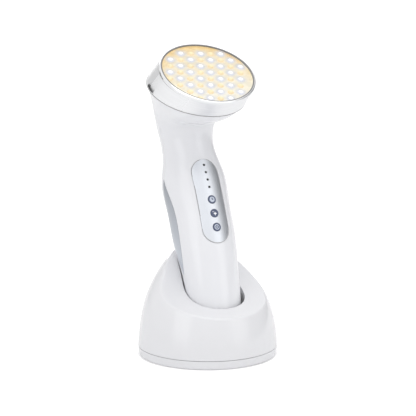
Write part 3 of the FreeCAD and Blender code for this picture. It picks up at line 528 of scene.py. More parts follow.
def make_piece(name, shape, body, material, slot, replaces=(), marks=None, sharp=35.0):
    """Mesh object from a shape, riding on a body, with values for its points as attributes.

    Edges that fold by more than sharp, in degrees, are shaded as edges.
    """
    points, quads, tris = outward(shape)
    mesh = bpy.data.meshes.new(name)
    mesh.vertices.add(len(points))
    mesh.vertices.foreach_set("co", points.astype(np.float32).ravel())
    corners = np.concatenate([quads.ravel(), tris.ravel()]).astype(np.int32)
    sizes = np.concatenate([np.full(len(quads), 4), np.full(len(tris), 3)])
    starts = np.cumsum(sizes) - sizes
    mesh.loops.add(len(corners))
    mesh.loops.foreach_set("vertex_index", corners)
    mesh.polygons.add(len(sizes))
    mesh.polygons.foreach_set("loop_start", starts.astype(np.int32))
    mesh.polygons.foreach_set("use_smooth", np.full(len(sizes), True))
    mesh.update(calc_edges=True)
    if mesh.validate():
        raise RuntimeError(name + " has faulty faces")
    mesh.set_sharp_from_angle(angle=math.radians(sharp))
    for label, values in (marks or {}).items():
        made = mesh.attributes.new(label, "FLOAT", "POINT")
        made.data.foreach_set("value", values.astype(np.float32))
    piece = bpy.data.objects.new(name, mesh)
    bpy.context.scene.collection.objects.link(piece)
    mesh.materials.append(material)
    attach(piece, body)
    if replaces:
        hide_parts(*replaces)


def read_vectors(items, label):
    """A vector of each vertex or face of a mesh, as an array."""
    values = np.zeros(len(items) * 3)
    items.foreach_get(label, values)
    return values.reshape(-1, 3)


# Materials

# Polish of the band: the part of band_turn, lowest at the band's left end, over which it dulls,
# its haze before and after, and what the streaks add to haze, tone and height
DULLED_TURN, DULLED_HAZE = (-1.4, -0.8), (0.03, 0.36)
STREAK_HAZE, STREAK_TONE, STREAK_HEIGHT = 0.08, (0.94, 1.0), 1.5e-6

LENS_TINT, LENS_INDEX = (0.99, 0.99, 0.985), 1.2

# Lit pieces: the share of the glow that a base reflects, the cores of the lights, and the colours
# of the tray's painted glow on its near side, along its far edge and in a painted halo round a
# white light
DIM_SHARE = 0.15
WHITE_CORE, AMBER_CORE = (1.0, 1.0, 1.0), (0.98, 0.92, 0.60)
NEAR_AMBER, FAR_AMBER, HALO_WHITE = (0.97, 0.92, 0.77), (0.93, 0.69, 0.34), (0.70, 0.72, 0.80)
# Strength of the tray's painted glow: the tray is no lamp
REFLECTOR_STRENGTH = 0.80

# Circuit boards: scale of their cells, where a cell ends and its trace begins, a trace's height
TRACE_SCALE, TRACE_EDGE, TRACE_HEIGHT = 420.0, (0.34, 0.38), 3e-5

CELL_BLUE, CREASE_HEIGHT = (0.05, 0.20, 0.42), 4e-5


def moulded_white(name, tint):
    """Glossy moulded plastic with a faint unevenness in its polish."""
    return finish(name, tint, rough=(0.09, 0.14), drift=(0.015, 25.0), grain=(1400.0, 4e-7))


def matt_rubber(name, tint):
    """Rubber or matt plastic with a coarse grain."""
    return finish(name, tint, rough=(0.45, 0.6), drift=(0.15, 120.0), grain=(1800.0, 6e-6))


def bright_metal(tint):
    """Plating polished round the band: fine streaks along it in tone, haze and height."""
    material, tree, shader = new_material("bright_metal")
    around = attribute(tree, "band_turn")
    place = add(tree, "ShaderNodeCombineXYZ", {"X": around, "Y": attribute(tree, "band_depth")})
    streaks = noise(tree, place.outputs["Vector"], 1.0, STREAK_DETAIL)
    dulled = map_range(tree, around, DULLED_TURN, DULLED_HAZE)
    tone = map_range(tree, streaks, NOISE_SPREAD, STREAK_TONE)
    toned = drifting(tree, opaque(tint), amount=0.03, scale=40.0)
    feed(tree, shader, {
        "Base Color": scaled(tree, toned, tone),
        "Roughness": math_node(tree, "MULTIPLY_ADD", streaks, STREAK_HAZE, dulled),
        "Metallic": 1.0})
    bump(tree, shader, streaks, STREAK_HEIGHT)
    return material


def satin_metal(name, tint, rough):
    """Metallic paint: fine flakes in tone and bump under a satin surface."""
    return finish(name, tint, rough, drift=(0.06, 2500.0), grain=(3500.0, 1.5e-6), Metallic=0.85)


def metal_with_painted_shade(name, tint, rough, heights, gains):
    """Metallic paint with painted shade: its tone falls between two heights, darker upwards."""
    material = satin_metal(name, tint, rough)
    tree = material.node_tree
    shader = tree.nodes["Principled BSDF"]
    height = add(tree, "ShaderNodeSeparateXYZ", {"Vector": object_place(tree)}).outputs["Z"]
    plain = shader.inputs["Base Color"].links[0].from_socket
    feed(tree, shader, {"Base Color": scaled(tree, plain, map_range(tree, height, heights, gains))})
    return material


def clear_lens():
    """Clear lens with the faintest haze in its polish."""
    material, tree, shader = new_material("clear_lens")
    roughened(tree, shader, rough=(0.0, 0.02), scale=300.0)
    toned = drifting(tree, opaque(LENS_TINT), amount=0.01, scale=20.0)
    feed(tree, shader, {"Base Color": toned, "Transmission Weight": 1.0, "IOR": LENS_INDEX})
    return material


def glowing(tree, shader, glow, strength):
    """Ends a lit material: its glow as emission, over a dim base of the same colour."""
    roughened(tree, shader, rough=(0.25, 0.4), scale=800.0)
    feed(tree, shader, {"Emission Color": glow, "Emission Strength": strength,
                        "Base Color": scaled(tree, glow, DIM_SHARE)})


def lit_cap(name, core, rim, edge, strength):
    """Lit cap whose glow falls from a bright core to its rim, by the share of its radius."""
    material, tree, shader = new_material(name)
    spread = map_range(tree, attribute(tree, "cap_share"), (edge, 1.0), smooth=True)
    glow = mix_colour(tree, spread, opaque(core), opaque(rim))
    glowing(tree, shader, drifting(tree, glow, amount=0.12, scale=130.0), strength)
    return material


def lit_reflector(tint):
    """Tray's painted glow: amber, paler on its near side, deeper along its far edge, white by white
    lights.
    """
    material, tree, shader = new_material("lit_reflector")
    glow = opaque(tint)
    for mark, other in (("near_side", NEAR_AMBER), ("far_edge", FAR_AMBER),
                        ("white_share", HALO_WHITE)):
        glow = mix_colour(tree, attribute(tree, mark), glow, opaque(other))
    toned = drifting(tree, glow, amount=0.25, scale=170.0)
    glowing(tree, shader, toned, REFLECTOR_STRENGTH)
    return material


def board_mask(name, tint, trace):
    """Circuit board: solder mask with square-cornered traces standing a little proud."""
    material, tree, shader = new_material(name)
    cells = add(tree, "ShaderNodeTexVoronoi", {"Vector": object_place(tree), "Scale": TRACE_SCALE},
                distance="CHEBYCHEV", feature="F1")
    lines = map_range(tree, cells.outputs["Distance"], TRACE_EDGE)
    roughened(tree, shader, rough=(0.3, 0.4), scale=900.0)
    feed(tree, shader, {"Base Color": mix_colour(tree, lines, opaque(tint), opaque(trace))})
    bump(tree, shader, lines, TRACE_HEIGHT)
    return material


def cell_wrap():
    """Shrink wrap of the battery cell with fine creases round it."""
    material, tree, shader = new_material("cell_wrap")
    creases = add(tree, "ShaderNodeTexWave", {"Vector": object_place(tree), "Scale": 60.0,
                                              "Distortion": 6.0, "Detail": FINE_DETAIL},
                  bands_direction="Z")
    roughened(tree, shader, rough=(0.25, 0.35), scale=700.0)
    toned = drifting(tree, opaque(CELL_BLUE), amount=0.2, scale=90.0)
    feed(tree, shader, {"Base Color": toned})
    bump(tree, shader, creases.outputs["Fac"], CREASE_HEIGHT)
    return material


# Head

# Points round the band, and rows in a quarter of its rim, down its wall and round its lower edge
BAND_STEPS, QUARTER_ROWS, WALL_ROWS, EDGE_ROWS = 256, 9, 16, 5
WALL_START = 0.02                        # first row of the wall as a share of its height
STREAK_TURN, STREAK_DEPTH = 1.5, 1.4     # streaks round the band, and for a millimetre down it
BAND_FOLD = 50.0

# Lens: points round it, rings of its crown between shares of its radius, depth of its chamfer
LENS_STEPS, CROWN_RINGS = 160, 14
CROWN_EDGE, CROWN_HUB, LENS_CHAMFER = 0.995, 0.04, 0.1
RIM_SHADE_SOFT = 0.2                        # drawn-in edge as a share of the dark ring's width

# Lights: points round a cap, rows of its dome, the dome's share of its height, hole in its foot
CAP_STEPS, DOME_ROWS, DOME_SHARE, CAP_HUB = 28, 8, 0.8, 0.3
# Where the glow of a light begins to fall towards its rim, and its strength
WHITE_GLOW, AMBER_GLOW = (0.4, 0.93), (0.0, 0.84)

# Tray: points round it, rings and the first one's share of the radius, draft of its wall, floor
# above its foot as a share of a light's height
TRAY_STEPS, TRAY_RINGS, TRAY_HUB, TRAY_DRAFT, TRAY_FLOOR = 240, 75, 0.01, 0.95, 0.25
HALO_POWER, HALO_SPREAD = 3, 4           # bell curve of the painted white halo round a white light
NEAR_MIDDLE, NEAR_SLOPE = 0.5, 0.6       # near side of the painted glow: share in the middle, change towards the edge
FAR_RIM, FAR_MIDDLE = 4, 0.4             # far edge of the painted glow: steepness at the rim, share in the middle


def spokes(turn):
    """Unit vectors away from the head's axis."""
    return np.column_stack([polar(1.0, turn), 0 * turn])


def band_wall(sizes, turn):
    """Outside of the band as a function of depth and inset, and the depth of its lower edge.

    At each turn round the face the wall is a straight line, from the circle under the rim to the
    tilted oval of the lower edge.
    """
    out = spokes(turn)
    top = out * (sizes.rim_radius - sizes.rim_step)
    tilt = sizes.edge_tilt
    edge = np.stack([sizes.edge_width * np.cos(turn),
                     sizes.edge_shift + sizes.edge_slope * math.cos(tilt) * np.sin(turn),
                     -sizes.edge_depth - sizes.edge_slope * math.sin(tilt) * np.sin(turn)], axis=1)
    edge_depth = -edge[:, 2]

    def wall(depth, inset=0.0):
        return top + (edge - top) * (depth / edge_depth)[:, None] - out * inset

    return wall, edge_depth


def rim_section(sizes):
    """Rolled rim as radii and heights, from the lens pocket to its lower edge.

    A small quarter circle at the pocket, a larger one outside, a straight stretch, and another
    quarter circle under it.
    """
    pocket = sizes.lens_radius + sizes.lens_fit
    large = sizes.rim_round
    inner = sizes.rim_radius - large
    small = inner - pocket
    straight = sizes.rim_height - large
    turn = np.linspace(0, np.pi / 2, QUARTER_ROWS)
    c, s = np.cos(turn), np.sin(turn)
    radius = np.concatenate([pocket + small * (1 - c), inner + large * s[1:], inner + large * c])
    height = np.concatenate([small * (s - 1), large * (c[1:] - 1), -straight - large * s])
    return np.column_stack([radius, height])


def head_band_shape(sizes):
    """Metal band as one closed section carried round the face, with marks for its streaks.

    The section starts with the rolled rim. Below it comes the straight wall, and wherever the wall
    stands farther out than the lower half of the rim it takes the rim's place. The section then
    goes round the lower edge and up the inside to the lens seat.
    """
    turn = turns(BAND_STEPS)
    out = spokes(turn)
    wall, edge_depth = band_wall(sizes, turn)

    def ring(radius, height):
        return out * radius + UP * height

    rows = []
    for radius, height in rim_section(sizes):
        behind = wall(np.full(len(turn), -height))
        beyond = (behind * out).sum(axis=1) > radius
        lower = height <= -sizes.rim_height / 2
        rows.append(np.where(beyond[:, None] & lower, behind, ring(radius, height)))
    reach = edge_depth - sizes.edge_round
    rows += [wall(sizes.rim_height + (reach - sizes.rim_height) * share)
             for share in np.linspace(WALL_START, 1, WALL_ROWS)]
    rows += [wall(reach + sizes.edge_round * math.sin(a), sizes.edge_round * (1 - math.cos(a)))
             for a in np.linspace(0, np.pi / 2, EDGE_ROWS)[1:]]
    rows.append(wall(edge_depth, sizes.band_wall))
    stack = light_top(sizes) + sizes.light_height + sizes.lens_fit
    rows.append(wall(np.full(len(turn), stack + sizes.lens_fit), sizes.band_wall))
    rows += [ring(radius + sizes.lens_fit, height) for radius, height in (
        (tray_foot(sizes), -stack), (sizes.tray_radius, lens_seat(sizes)),
        (sizes.lens_radius, lens_seat(sizes)))]
    marks = {"band_turn": np.tile(STREAK_TURN * np.cos(turn), len(rows)),
             "band_depth": STREAK_DEPTH * np.concatenate(rows)[:, 2] / MM}
    return ring_shape(rows), marks


def seam_shade_shape(sizes):
    """Painted shade: grey rings in the groove under the rim and in the seam under the band's lower
    edge.

    Each is a flat ring of the given width on the line of the band's wall, a little proud of it.
    """
    turn = turns(BAND_STEPS)
    wall, edge_depth = band_wall(sizes, turn)
    outer, inner = -sizes.seam_shade_proud, sizes.band_wall / 2
    corners = ((0.0, outer), (sizes.seam_shade_width, outer), (sizes.seam_shade_width, inner), (0.0, inner))
    return joined(*(ring_shape([wall(start + down, inset) for down, inset in corners])
                    for start in (np.full(len(turn), sizes.rim_height), edge_depth)))


def lens_seat(sizes):
    """Height of the lens's back, against the rim's top."""
    return -sizes.lens_sunk - sizes.lens_thick


def lens_shape(sizes):
    """Lens as a turned profile: flat behind, and crowned in front by a parabola."""
    hub = sizes.lens_radius * CROWN_HUB
    radius = np.linspace(sizes.lens_radius * CROWN_EDGE, hub, CROWN_RINGS)
    crown = sizes.lens_crown * (1 - (radius / sizes.lens_radius) ** 2)
    edge = -sizes.lens_sunk - LENS_CHAMFER * sizes.lens_thick
    back = lens_seat(sizes)
    profile = [(hub, back), (sizes.lens_radius, back), (sizes.lens_radius, edge),
               *np.column_stack([radius, crown - sizes.lens_sunk])]
    return revolved(profile, LENS_STEPS)


def rim_shade_shape(sizes):
    """Painted shade: dark ring on the lens inside the rim, a rectangular section with a drawn-in
    upper edge.
    """
    outer = sizes.lens_radius + sizes.lens_fit
    inner = outer - sizes.rim_shade_width
    top, low = -sizes.rim_shade_top, -sizes.lens_sunk
    soft = RIM_SHADE_SOFT * sizes.rim_shade_width
    section = [(outer, low), (outer, top), (inner + soft, top), (inner, top - soft), (inner, low)]
    return ring_shape(turned_rings(section, LENS_STEPS))


def light_top(sizes):
    """Depth of the tops of the lights below the rim's top."""
    return sizes.lens_sunk + sizes.lens_thick + sizes.light_gap


def tray_foot(sizes):
    """Outer radius of the tray's lower edge: just outside its floor."""
    return sizes.tray_radius - TRAY_DRAFT * sizes.tray_wall


def light_steps(sizes):
    """Matrix whose columns are the steps along a row and along a column of lights."""
    turn = np.array([sizes.row_turn, sizes.column_turn])
    return polar(np.array([sizes.row_pitch, sizes.column_pitch]), turn).T


def light_grid(sizes):
    """Places of the lights in the head's frame, and whether each is a white one."""
    count = int(2 * sizes.light_field / sizes.row_pitch)
    steps = np.arange(-count, count + 1)
    i, j = np.meshgrid(steps, steps, indexing="ij")
    (row_x, column_x), (row_y, column_y) = light_steps(sizes)
    x = sizes.start_x + row_x * i + column_x * j
    y = sizes.start_y + row_y * i + column_y * j
    kept = np.hypot(x, y) <= sizes.light_field
    places = np.stack([x[kept], y[kept], 0 * x[kept]], axis=1)
    return places, ((i + j) % 2 == 0)[kept]


def cap_shape(sizes):
    """One light: a short cylinder under an elliptic dome, with each point's share of the radius."""
    rise = np.linspace(0, np.pi / 2, DOME_ROWS)[:-1]
    dome = DOME_SHARE * sizes.light_height
    low = -light_top(sizes) - sizes.light_height
    radius = sizes.light_radius * np.cos(rise)
    height = -light_top(sizes) - dome + dome * np.sin(rise)
    profile = [(CAP_HUB * sizes.light_radius, low), (sizes.light_radius, low),
               *np.column_stack([radius, height])]
    shape = revolved(profile, CAP_STEPS)
    shape[0][-1, 2] = -light_top(sizes)
    return shape, np.hypot(shape[0][:, 0], shape[0][:, 1]) / sizes.light_radius


def tray_shape(sizes):
    """Reflector as a height over rings round the face: a cup at each light, ridges between them.

    With u and v the grid's own coordinates in pitches, the height is a share of the ridge height,
    half of sin(pi u) squared plus sin(pi v) squared. The marks shape the tray's painted glow: a
    painted halo that falls off round each white light as a bell curve, a share that grows towards
    the near side, and the far edge.
    """
    inner = sizes.tray_radius - sizes.tray_wall
    radius = np.linspace(TRAY_HUB, 1.0, TRAY_RINGS) * inner
    top = turned_rings(np.column_stack([radius, 0 * radius]), TRAY_STEPS)
    offset = top[..., :2] - np.array([sizes.start_x, sizes.start_y])
    pitches = offset @ np.linalg.inv(light_steps(sizes)).T
    low = -light_top(sizes) - sizes.light_height
    floor = low + TRAY_FLOOR * sizes.light_height
    top[..., 2] = floor + sizes.tray_cup * (np.sin(np.pi * pitches) ** 2).sum(axis=-1) / 2
    seat = lens_seat(sizes)
    wall = [(inner, seat), (sizes.tray_radius, seat), (tray_foot(sizes), low)]
    rings = np.concatenate([top, turned_rings(wall, TRAY_STEPS)])
    shape = capped(rings, (0, 0, floor), (0, 0, low))
    x, y = shape[0][:, 0], shape[0][:, 1]
    places, is_white = light_grid(sizes)
    apart = np.hypot(x[:, None] - places[is_white, 0], y[:, None] - places[is_white, 1])
    nearest = apart.min(axis=1) / sizes.light_radius
    out, up = np.hypot(x, y) / sizes.tray_radius, y / sizes.tray_radius
    marks = {"white_share": np.exp(-nearest ** HALO_POWER / HALO_SPREAD),
             "near_side": np.clip(NEAR_MIDDLE - NEAR_SLOPE * up, 0, 1),
             "far_edge": np.clip(1 - FAR_RIM * (1 - out), 0, 1) * np.clip(FAR_MIDDLE + up, 0, 1)}
    return shape, marks


class WAND_OT_head_band(bpy.types.Operator):
    """Make the polished metal band with its rolled rim and the painted shade of its groove and seam
    """
    bl_idname = "wand.head_band"
    bl_label = "Head band"

    def execute(self, context):
        sizes, colours = context.scene.wand_head, context.scene.wand_colours
        band, marks = head_band_shape(sizes)
        make_piece("metal_band", moved(band, from_head), "handset", bright_metal(colours.metal),
                   "chrome", ["head_band"], marks, sharp=BAND_FOLD)
        # Grey rings that paint the shade in the groove under the rim and the seam under the band
        make_piece("band_seams", moved(seam_shade_shape(sizes), from_head), "handset",
                   matt_rubber("seam_grey", colours.seam), "switch_black")
        return {"FINISHED"}


class WAND_OT_lens(bpy.types.Operator):
    """Make the clear lens and the dark ring of painted shade round it"""
    bl_idname = "wand.lens"
    bl_label = "Lens"

    def execute(self, context):
        sizes, colours = context.scene.wand_head, context.scene.wand_colours
        make_piece("clear_face", moved(lens_shape(sizes), from_head), "handset", clear_lens(),
                   "clear_lens", ["face_lens"])
        # Dark ring that paints the shade and dark reflection along the rim's inner edge
        make_piece("lens_gasket", moved(rim_shade_shape(sizes), from_head), "handset",
                   matt_rubber("gasket_black", colours.rim_shade), "switch_black")
        return {"FINISHED"}


class WAND_OT_lights(bpy.types.Operator):
    """Make the white and amber lights and the reflector tray, whose glow from them is painted light
    """
    bl_idname = "wand.lights"
    bl_label = "Lights"

    def execute(self, context):
        sizes, colours = context.scene.wand_head, context.scene.wand_colours
        cap, share = cap_shape(sizes)
        places, white = light_grid(sizes)
        for name, own, core, rim, glow in (
                ("white", white, WHITE_CORE, colours.white_light, WHITE_GLOW),
                ("amber", ~white, AMBER_CORE, colours.amber_light, AMBER_GLOW)):
            make_piece(name + "_caps", moved(repeated(cap, places[own]), from_head), "handset",
                       lit_cap("lit_" + name, core, rim, *glow), name + "_light",
                       [name + "_lights"], {"cap_share": np.tile(share, own.sum())})
        # The tray is no lamp: its glow is painted light from the lights
        tray, marks = tray_shape(sizes)
        make_piece("reflector_tray", moved(tray, from_head), "handset",
                   lit_reflector(colours.reflector), "amber_reflector", ["light_tray"], marks)
        return {"FINISHED"}


# Control panel and buttons

FIT_POWERS = [(a, b) for a in (0, 2, 4) for b in (0, 1, 2, 3)]    # of x and z, even across
FIT_SCALE = 20 * MM
FACING = -0.5                            # a face looks forward if its normal's Y is below this

# Grey line of painted shade in the gap round the panel: points in each side and end, how far
# inside the panel's edge, its reach into and out of the handle, and the step for the surface's
# slope
PANEL_SHADE_STEPS, PANEL_SHADE_INSET, PANEL_SHADE_LOW, PANEL_SHADE_HIGH = 48, 0.1 * MM, -0.6 * MM, 0.02 * MM
SLOPE_STEP = 0.1 * MM

PIPE_BLACK, PIPE_INDEX = (0.02, 0.021, 0.025), 1.55
MARK_WHITE = (0.88, 0.89, 0.92)

# Marks on the buttons in millimetres: their foot against a button's face, and their lines and
# places from its middle
MARK_LOW = -0.05
CLOCK_HANDS = (((0, 0.1), (0, 0.6), (0, 1.1)), ((-0.2, 0), (0.25, 0), (0.7, 0)))
RING_RADIUS, RING_ENDS, RING_STEPS = 0.85, (125, 415), 40
RING_STROKE = ((0, 0.3), (0, 0.7), (0, 1.15))
STARS = ((1.45, (0.25, -0.3)), (0.6, (-0.95, 0.95)))              # reach and place
MARK_STEPS, DIAL_BEVEL, STAR_BEVEL, STAR_POWER = 64, 0.06, 0.1, 0.62


def handle_front():
    """Y of the panel's face in the handset's frame, a polynomial of x and z fitted to its faces."""
    polygons = nodes["control_panel"].data.polygons
    facing = (read_vectors(polygons, "normal") @ HANDSET_TURN)[:, 1] < FACING
    places = to_handset(read_vectors(polygons, "center")[facing])
    middle = places[:, 2].mean()

    def terms(x, z):
        across, along = x / FIT_SCALE, (z - middle) / FIT_SCALE
        return np.stack([across ** a * along ** b for a, b in FIT_POWERS], axis=-1)

    weights = np.linalg.lstsq(terms(places[:, 0], places[:, 2]), places[:, 1], rcond=None)[0]
    return lambda x, z: terms(x, z) @ weights


def panel_outline(sizes, inset, count):
    """Points round the panel: straight sides joined by half circles, smaller by an inset."""
    radius = sizes.width / 2 - inset
    half = sizes.height / 2 - sizes.width / 2
    side = np.linspace(-half, half, count)[1:-1]
    end_x, end_z = polar(radius, np.linspace(0, np.pi, count)).T
    edge = np.full(len(side), radius)
    x = np.concatenate([edge, end_x, -edge, -end_x])
    z = np.concatenate([side, half + end_z, side[::-1], -half - end_z])
    return x, sizes.mid + z


def panel_shade_shape(sizes):
    """Thin grey line of painted shade along the panel's outline, standing square on the handle's
    surface.
    """
    front = handle_front()
    x, z = panel_outline(sizes, PANEL_SHADE_INSET, PANEL_SHADE_STEPS)
    step = SLOPE_STEP
    slope_x = (front(x + step, z) - front(x - step, z)) / (2 * step)
    slope_z = (front(x, z + step) - front(x, z - step)) / (2 * step)
    up = np.stack([slope_x, -np.ones(len(x)), slope_z], axis=1)
    up /= np.linalg.norm(up, axis=1, keepdims=True)
    path = np.stack([x, front(x, z), z], axis=1)
    return ribbon(path, up, sizes.panel_shade_width, PANEL_SHADE_LOW, PANEL_SHADE_HIGH, True)


class WAND_OT_panel(bpy.types.Operator):
    """Dress the control panel and its indicators, and lay a line of painted shade round it"""
    bl_idname = "wand.panel"
    bl_label = "Control panel"

    def execute(self, context):
        sizes, colours = context.scene.wand_panel, context.scene.wand_colours
        dress(satin_metal("panel_silver", colours.panel, rough=(0.40, 0.46)), "control_panel")
        dress(finish("smoked_pipe", PIPE_BLACK, rough=(0.08, 0.14), IOR=PIPE_INDEX),
              "indicator_pipes")
        # Grey line that paints the shade in the gap round the panel
        make_piece("panel_seal", moved(panel_shade_shape(sizes), from_handset), "handset",
                   matt_rubber("seal_grey", colours.panel_shade), "pad_rubber")
        return {"FINISHED"}


def on_button(name):
    """Function from a button's own plane, with Z out of its face, to the part's frame."""
    places = to_handset(read_vectors(nodes[name].data.vertices, "co"))
    face = places[:, 1].min()
    height = (places[:, 2].min() + places[:, 2].max()) / 2

    def place(points):
        x, up, out = points.T
        return from_handset(np.stack([x, face - out, height + up], axis=1))

    return place


def star(size, spot, low, high):
    """Four-pointed star, a superellipse with hollow sides."""
    turn = turns(MARK_STEPS)
    arms = np.abs(polar(1.0, turn)) ** STAR_POWER
    reach = size * arms.sum(axis=1) ** (-1 / STAR_POWER)
    shape = mound(polar(reach, turn), low, high, STAR_BEVEL)
    return moved(shape, lambda points: points + np.array([*spot, 0]))


class WAND_OT_buttons(bpy.types.Operator):
    """Dress the buttons and put their dials and marks on them"""
    bl_idname = "wand.buttons"
    bl_label = "Buttons"

    def execute(self, context):
        sizes, colours = context.scene.wand_panel, context.scene.wand_colours
        dark = finish("button_blue", colours.button, rough=(0.3, 0.4), drift=(0.1, 300.0))
        pale = satin_metal("dial_silver", colours.dial, rough=(0.3, 0.4))
        bright = finish("mark_white", MARK_WHITE, rough=(0.3, 0.4), drift=(0.04, 300.0))
        dress(dark, "power_button", "mode_button", "timer_button")
        low, high = MARK_LOW * MM, sizes.mark_height

        def line(path):
            return stroke(np.array(path) * MM, sizes.mark_width, low, 2 * high)

        arc = polar(RING_RADIUS, np.radians(np.linspace(*RING_ENDS, RING_STEPS)))
        dial = mound(polar(sizes.dial_radius, turns(MARK_STEPS)), low, high, DIAL_BEVEL)
        hands = joined(*(line(path) for path in CLOCK_HANDS))
        ring = joined(line(arc), line(RING_STROKE))
        stars = joined(*(star(reach * MM, np.array(spot) * MM, low, high) for reach, spot in STARS))
        for name, shape, body, material, slot in (
                ("timer_dial", dial, "timer_button", pale, "silver_panel"),
                ("timer_hands", hands, "timer_button", dark, "button_grey"),
                ("power_dial", dial, "power_button", pale, "silver_panel"),
                ("power_mark", ring, "power_button", dark, "button_grey"),
                ("mode_stars", stars, "mode_button", bright, "silver_panel")):
            make_piece(name, moved(shape, on_button(body)), body, material, slot)
        return {"FINISHED"}


# Casing, grips and cradle

GRIP_HEIGHTS, GRIP_SHADE_GAINS = (55 * MM, 115 * MM), (1.12, 0.61)    # painted shade: the paint's tone falls upwards
PAD_BLACK = (0.035, 0.035, 0.037)
# Pad: points round it, rings and the first one's share of the radius, its ridges and its flat edge
PAD_STEPS, PAD_RINGS, PAD_HUB = 96, 130, 0.02
RIDGE_PITCH, RIDGE_DEPTH, PAD_EDGE = 2.0 * MM, 0.25 * MM, 0.4 * MM


class WAND_OT_casing(bpy.types.Operator):
    """Dress the handset's casing and its grip strips"""
    bl_idname = "wand.casing"
    bl_label = "Casing"

    def execute(self, context):
        colours = context.scene.wand_colours
        dress(moulded_white("casing_white", colours.casing),
              "front_shell", "rear_shell", "chin_cover", "end_cap")
        # The grips' paint carries painted shade, darker towards their top.
        paint = metal_with_painted_shade("grip_silver", colours.grip, rough=(0.28, 0.36),
                             heights=GRIP_HEIGHTS, gains=GRIP_SHADE_GAINS)
        dress(paint, "left_grip", "right_grip")
        return {"FINISHED"}


def pad_shape():
    """Anti-slip pad as a turned profile with round ridges underneath, a cosine of the radius."""
    outer, _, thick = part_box("anti_slip_pad")[1]
    hub = PAD_HUB * outer
    radius = np.linspace(hub, outer - PAD_EDGE, PAD_RINGS)
    under = RIDGE_DEPTH * (1 + np.cos(2 * np.pi * radius / RIDGE_PITCH)) / 2
    profile = [*np.column_stack([radius, under]), (outer, RIDGE_DEPTH), (outer, thick),
               (hub, thick)]
    return revolved(profile, PAD_STEPS)


class WAND_OT_cradle(bpy.types.Operator):
    """Dress the cradle and make its anti-slip pad"""
    bl_idname = "wand.cradle"
    bl_label = "Cradle"

    def execute(self, context):
        colours = context.scene.wand_colours
        dress(moulded_white("cradle_white", colours.cradle), "cradle_shell", "cradle_base")
        dress(finish("socket_lining", colours.socket, rough=(0.4, 0.5), grain=(1500.0, 5e-6)),
              "charge_socket")
        make_piece("ridged_pad", pad_shape(), "cradle", matt_rubber("pad_rubber", PAD_BLACK),
                   "pad_rubber", ["anti_slip_pad"])
        return {"FINISHED"}


# Screws

STEEL = (0.55, 0.56, 0.58)
# Radius and height of the head, radius of the shank, reach from the head's top
BASE_SCREW = (2.5 * MM, 1.3 * MM, 1.3 * MM, 11.3 * MM)
SHELL_SCREW = (2.3 * MM, 1.5 * MM, 1.25 * MM, 11.25 * MM)
BASE_SCREW_TURNS, BASE_SCREW_RING = (22.0, 158.0, 202.0, 338.0), 35.0 * MM
SHELL_SCREW_HEIGHTS = (27.0 * MM, 116.0 * MM)
# Points round a screw, rings of its head and the first one's share of the radius
SCREW_STEPS, HEAD_RINGS, HEAD_HUB = 72, 26, 0.02
# Half width, half length and slope of the cross by the head's radius, its depth and the crown by
# the head's height, and the point by the shank's radius
CROSS_WIDE, CROSS_FAR, CROSS_SLOPE, CROSS_DEPTH, HEAD_CROWN, SCREW_POINT = (
    0.16, 0.58, 0.06, 0.55, 0.25, 0.3)


def screw_shape(head_r, head_height, shank_r, reach):
    """Screw along Z with its head's top at the origin: a crowned head with a cross recess.

    The head's top is a height over rings: a parabola, less the recess depth wherever the nearer
    of the two bars of the cross is within its half width and half length.
    """
    share = np.linspace(HEAD_HUB, 1.0, HEAD_RINGS)
    top = turned_rings(np.column_stack([share, -HEAD_CROWN * share ** 2]), SCREW_STEPS)
    across, along = np.sort(np.abs(top[..., :2]), axis=-1).transpose(2, 0, 1)
    cut = (np.clip((CROSS_WIDE - across) / CROSS_SLOPE, 0, 1)
           * np.clip((CROSS_FAR - along) / CROSS_SLOPE, 0, 1))
    top[..., 2] -= CROSS_DEPTH * cut
    side = [(head_r, -head_height), (shank_r, -head_height), (shank_r, -reach + shank_r),
            (SCREW_POINT * shank_r, -reach)]
    rings = np.concatenate([top * (head_r, head_r, head_height), turned_rings(side, SCREW_STEPS)])
    return capped(rings, (0, 0, -CROSS_DEPTH * head_height), (0, 0, -reach))


class WAND_OT_screws(bpy.types.Operator):
    """Make the screws that show under the base and in the back of the handset"""
    bl_idname = "wand.screws"
    bl_label = "Screws"

    def execute(self, context):
        steel = finish("screw_steel", STEEL, rough=(0.2, 0.35), drift=(0.1, 400.0), Metallic=1.0)
        dress(steel, "board_screws", "cradle_board_screws")
        ring = polar(BASE_SCREW_RING, np.radians(BASE_SCREW_TURNS))
        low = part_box("base_screws")[0][2]
        places = np.column_stack([ring, np.full(len(ring), low)])
        upward = moved(screw_shape(*BASE_SCREW), lambda points: points * (1, -1, -1))
        make_piece("base_fasteners", repeated(upward, places), "cradle", steel, "screw_steel",
                   ["base_screws"])
        seats = to_handset(read_vectors(nodes["shell_screws"].data.vertices, "co"))
        places = np.array([(0, seats[:, 1].max(), height) for height in SHELL_SCREW_HEIGHTS])
        backward = moved(screw_shape(*SHELL_SCREW),
                         lambda points: points[:, [0, 2, 1]] * (1, 1, -1))
        make_piece("shell_fasteners", moved(repeated(backward, places), from_handset), "handset",
                   steel, "screw_steel", ["shell_screws"])
        return {"FINISHED"}


# Inner pieces: finish, its colours and values, and the nodes that it goes on

HOUSINGS = (
    ("housing_black", (0.02, 0.02, 0.022), ("button_switches", "power_inlet")),
    ("cable_black", (0.03, 0.03, 0.032), ("light_cable",)),
)
BOARDS = (
    ("board_green", (0.015, 0.12, 0.05), (0.03, 0.2, 0.08), ("main_board", "cradle_board")),
    ("board_white", (0.75, 0.75, 0.73), (0.62, 0.62, 0.60), ("light_board",)),
)
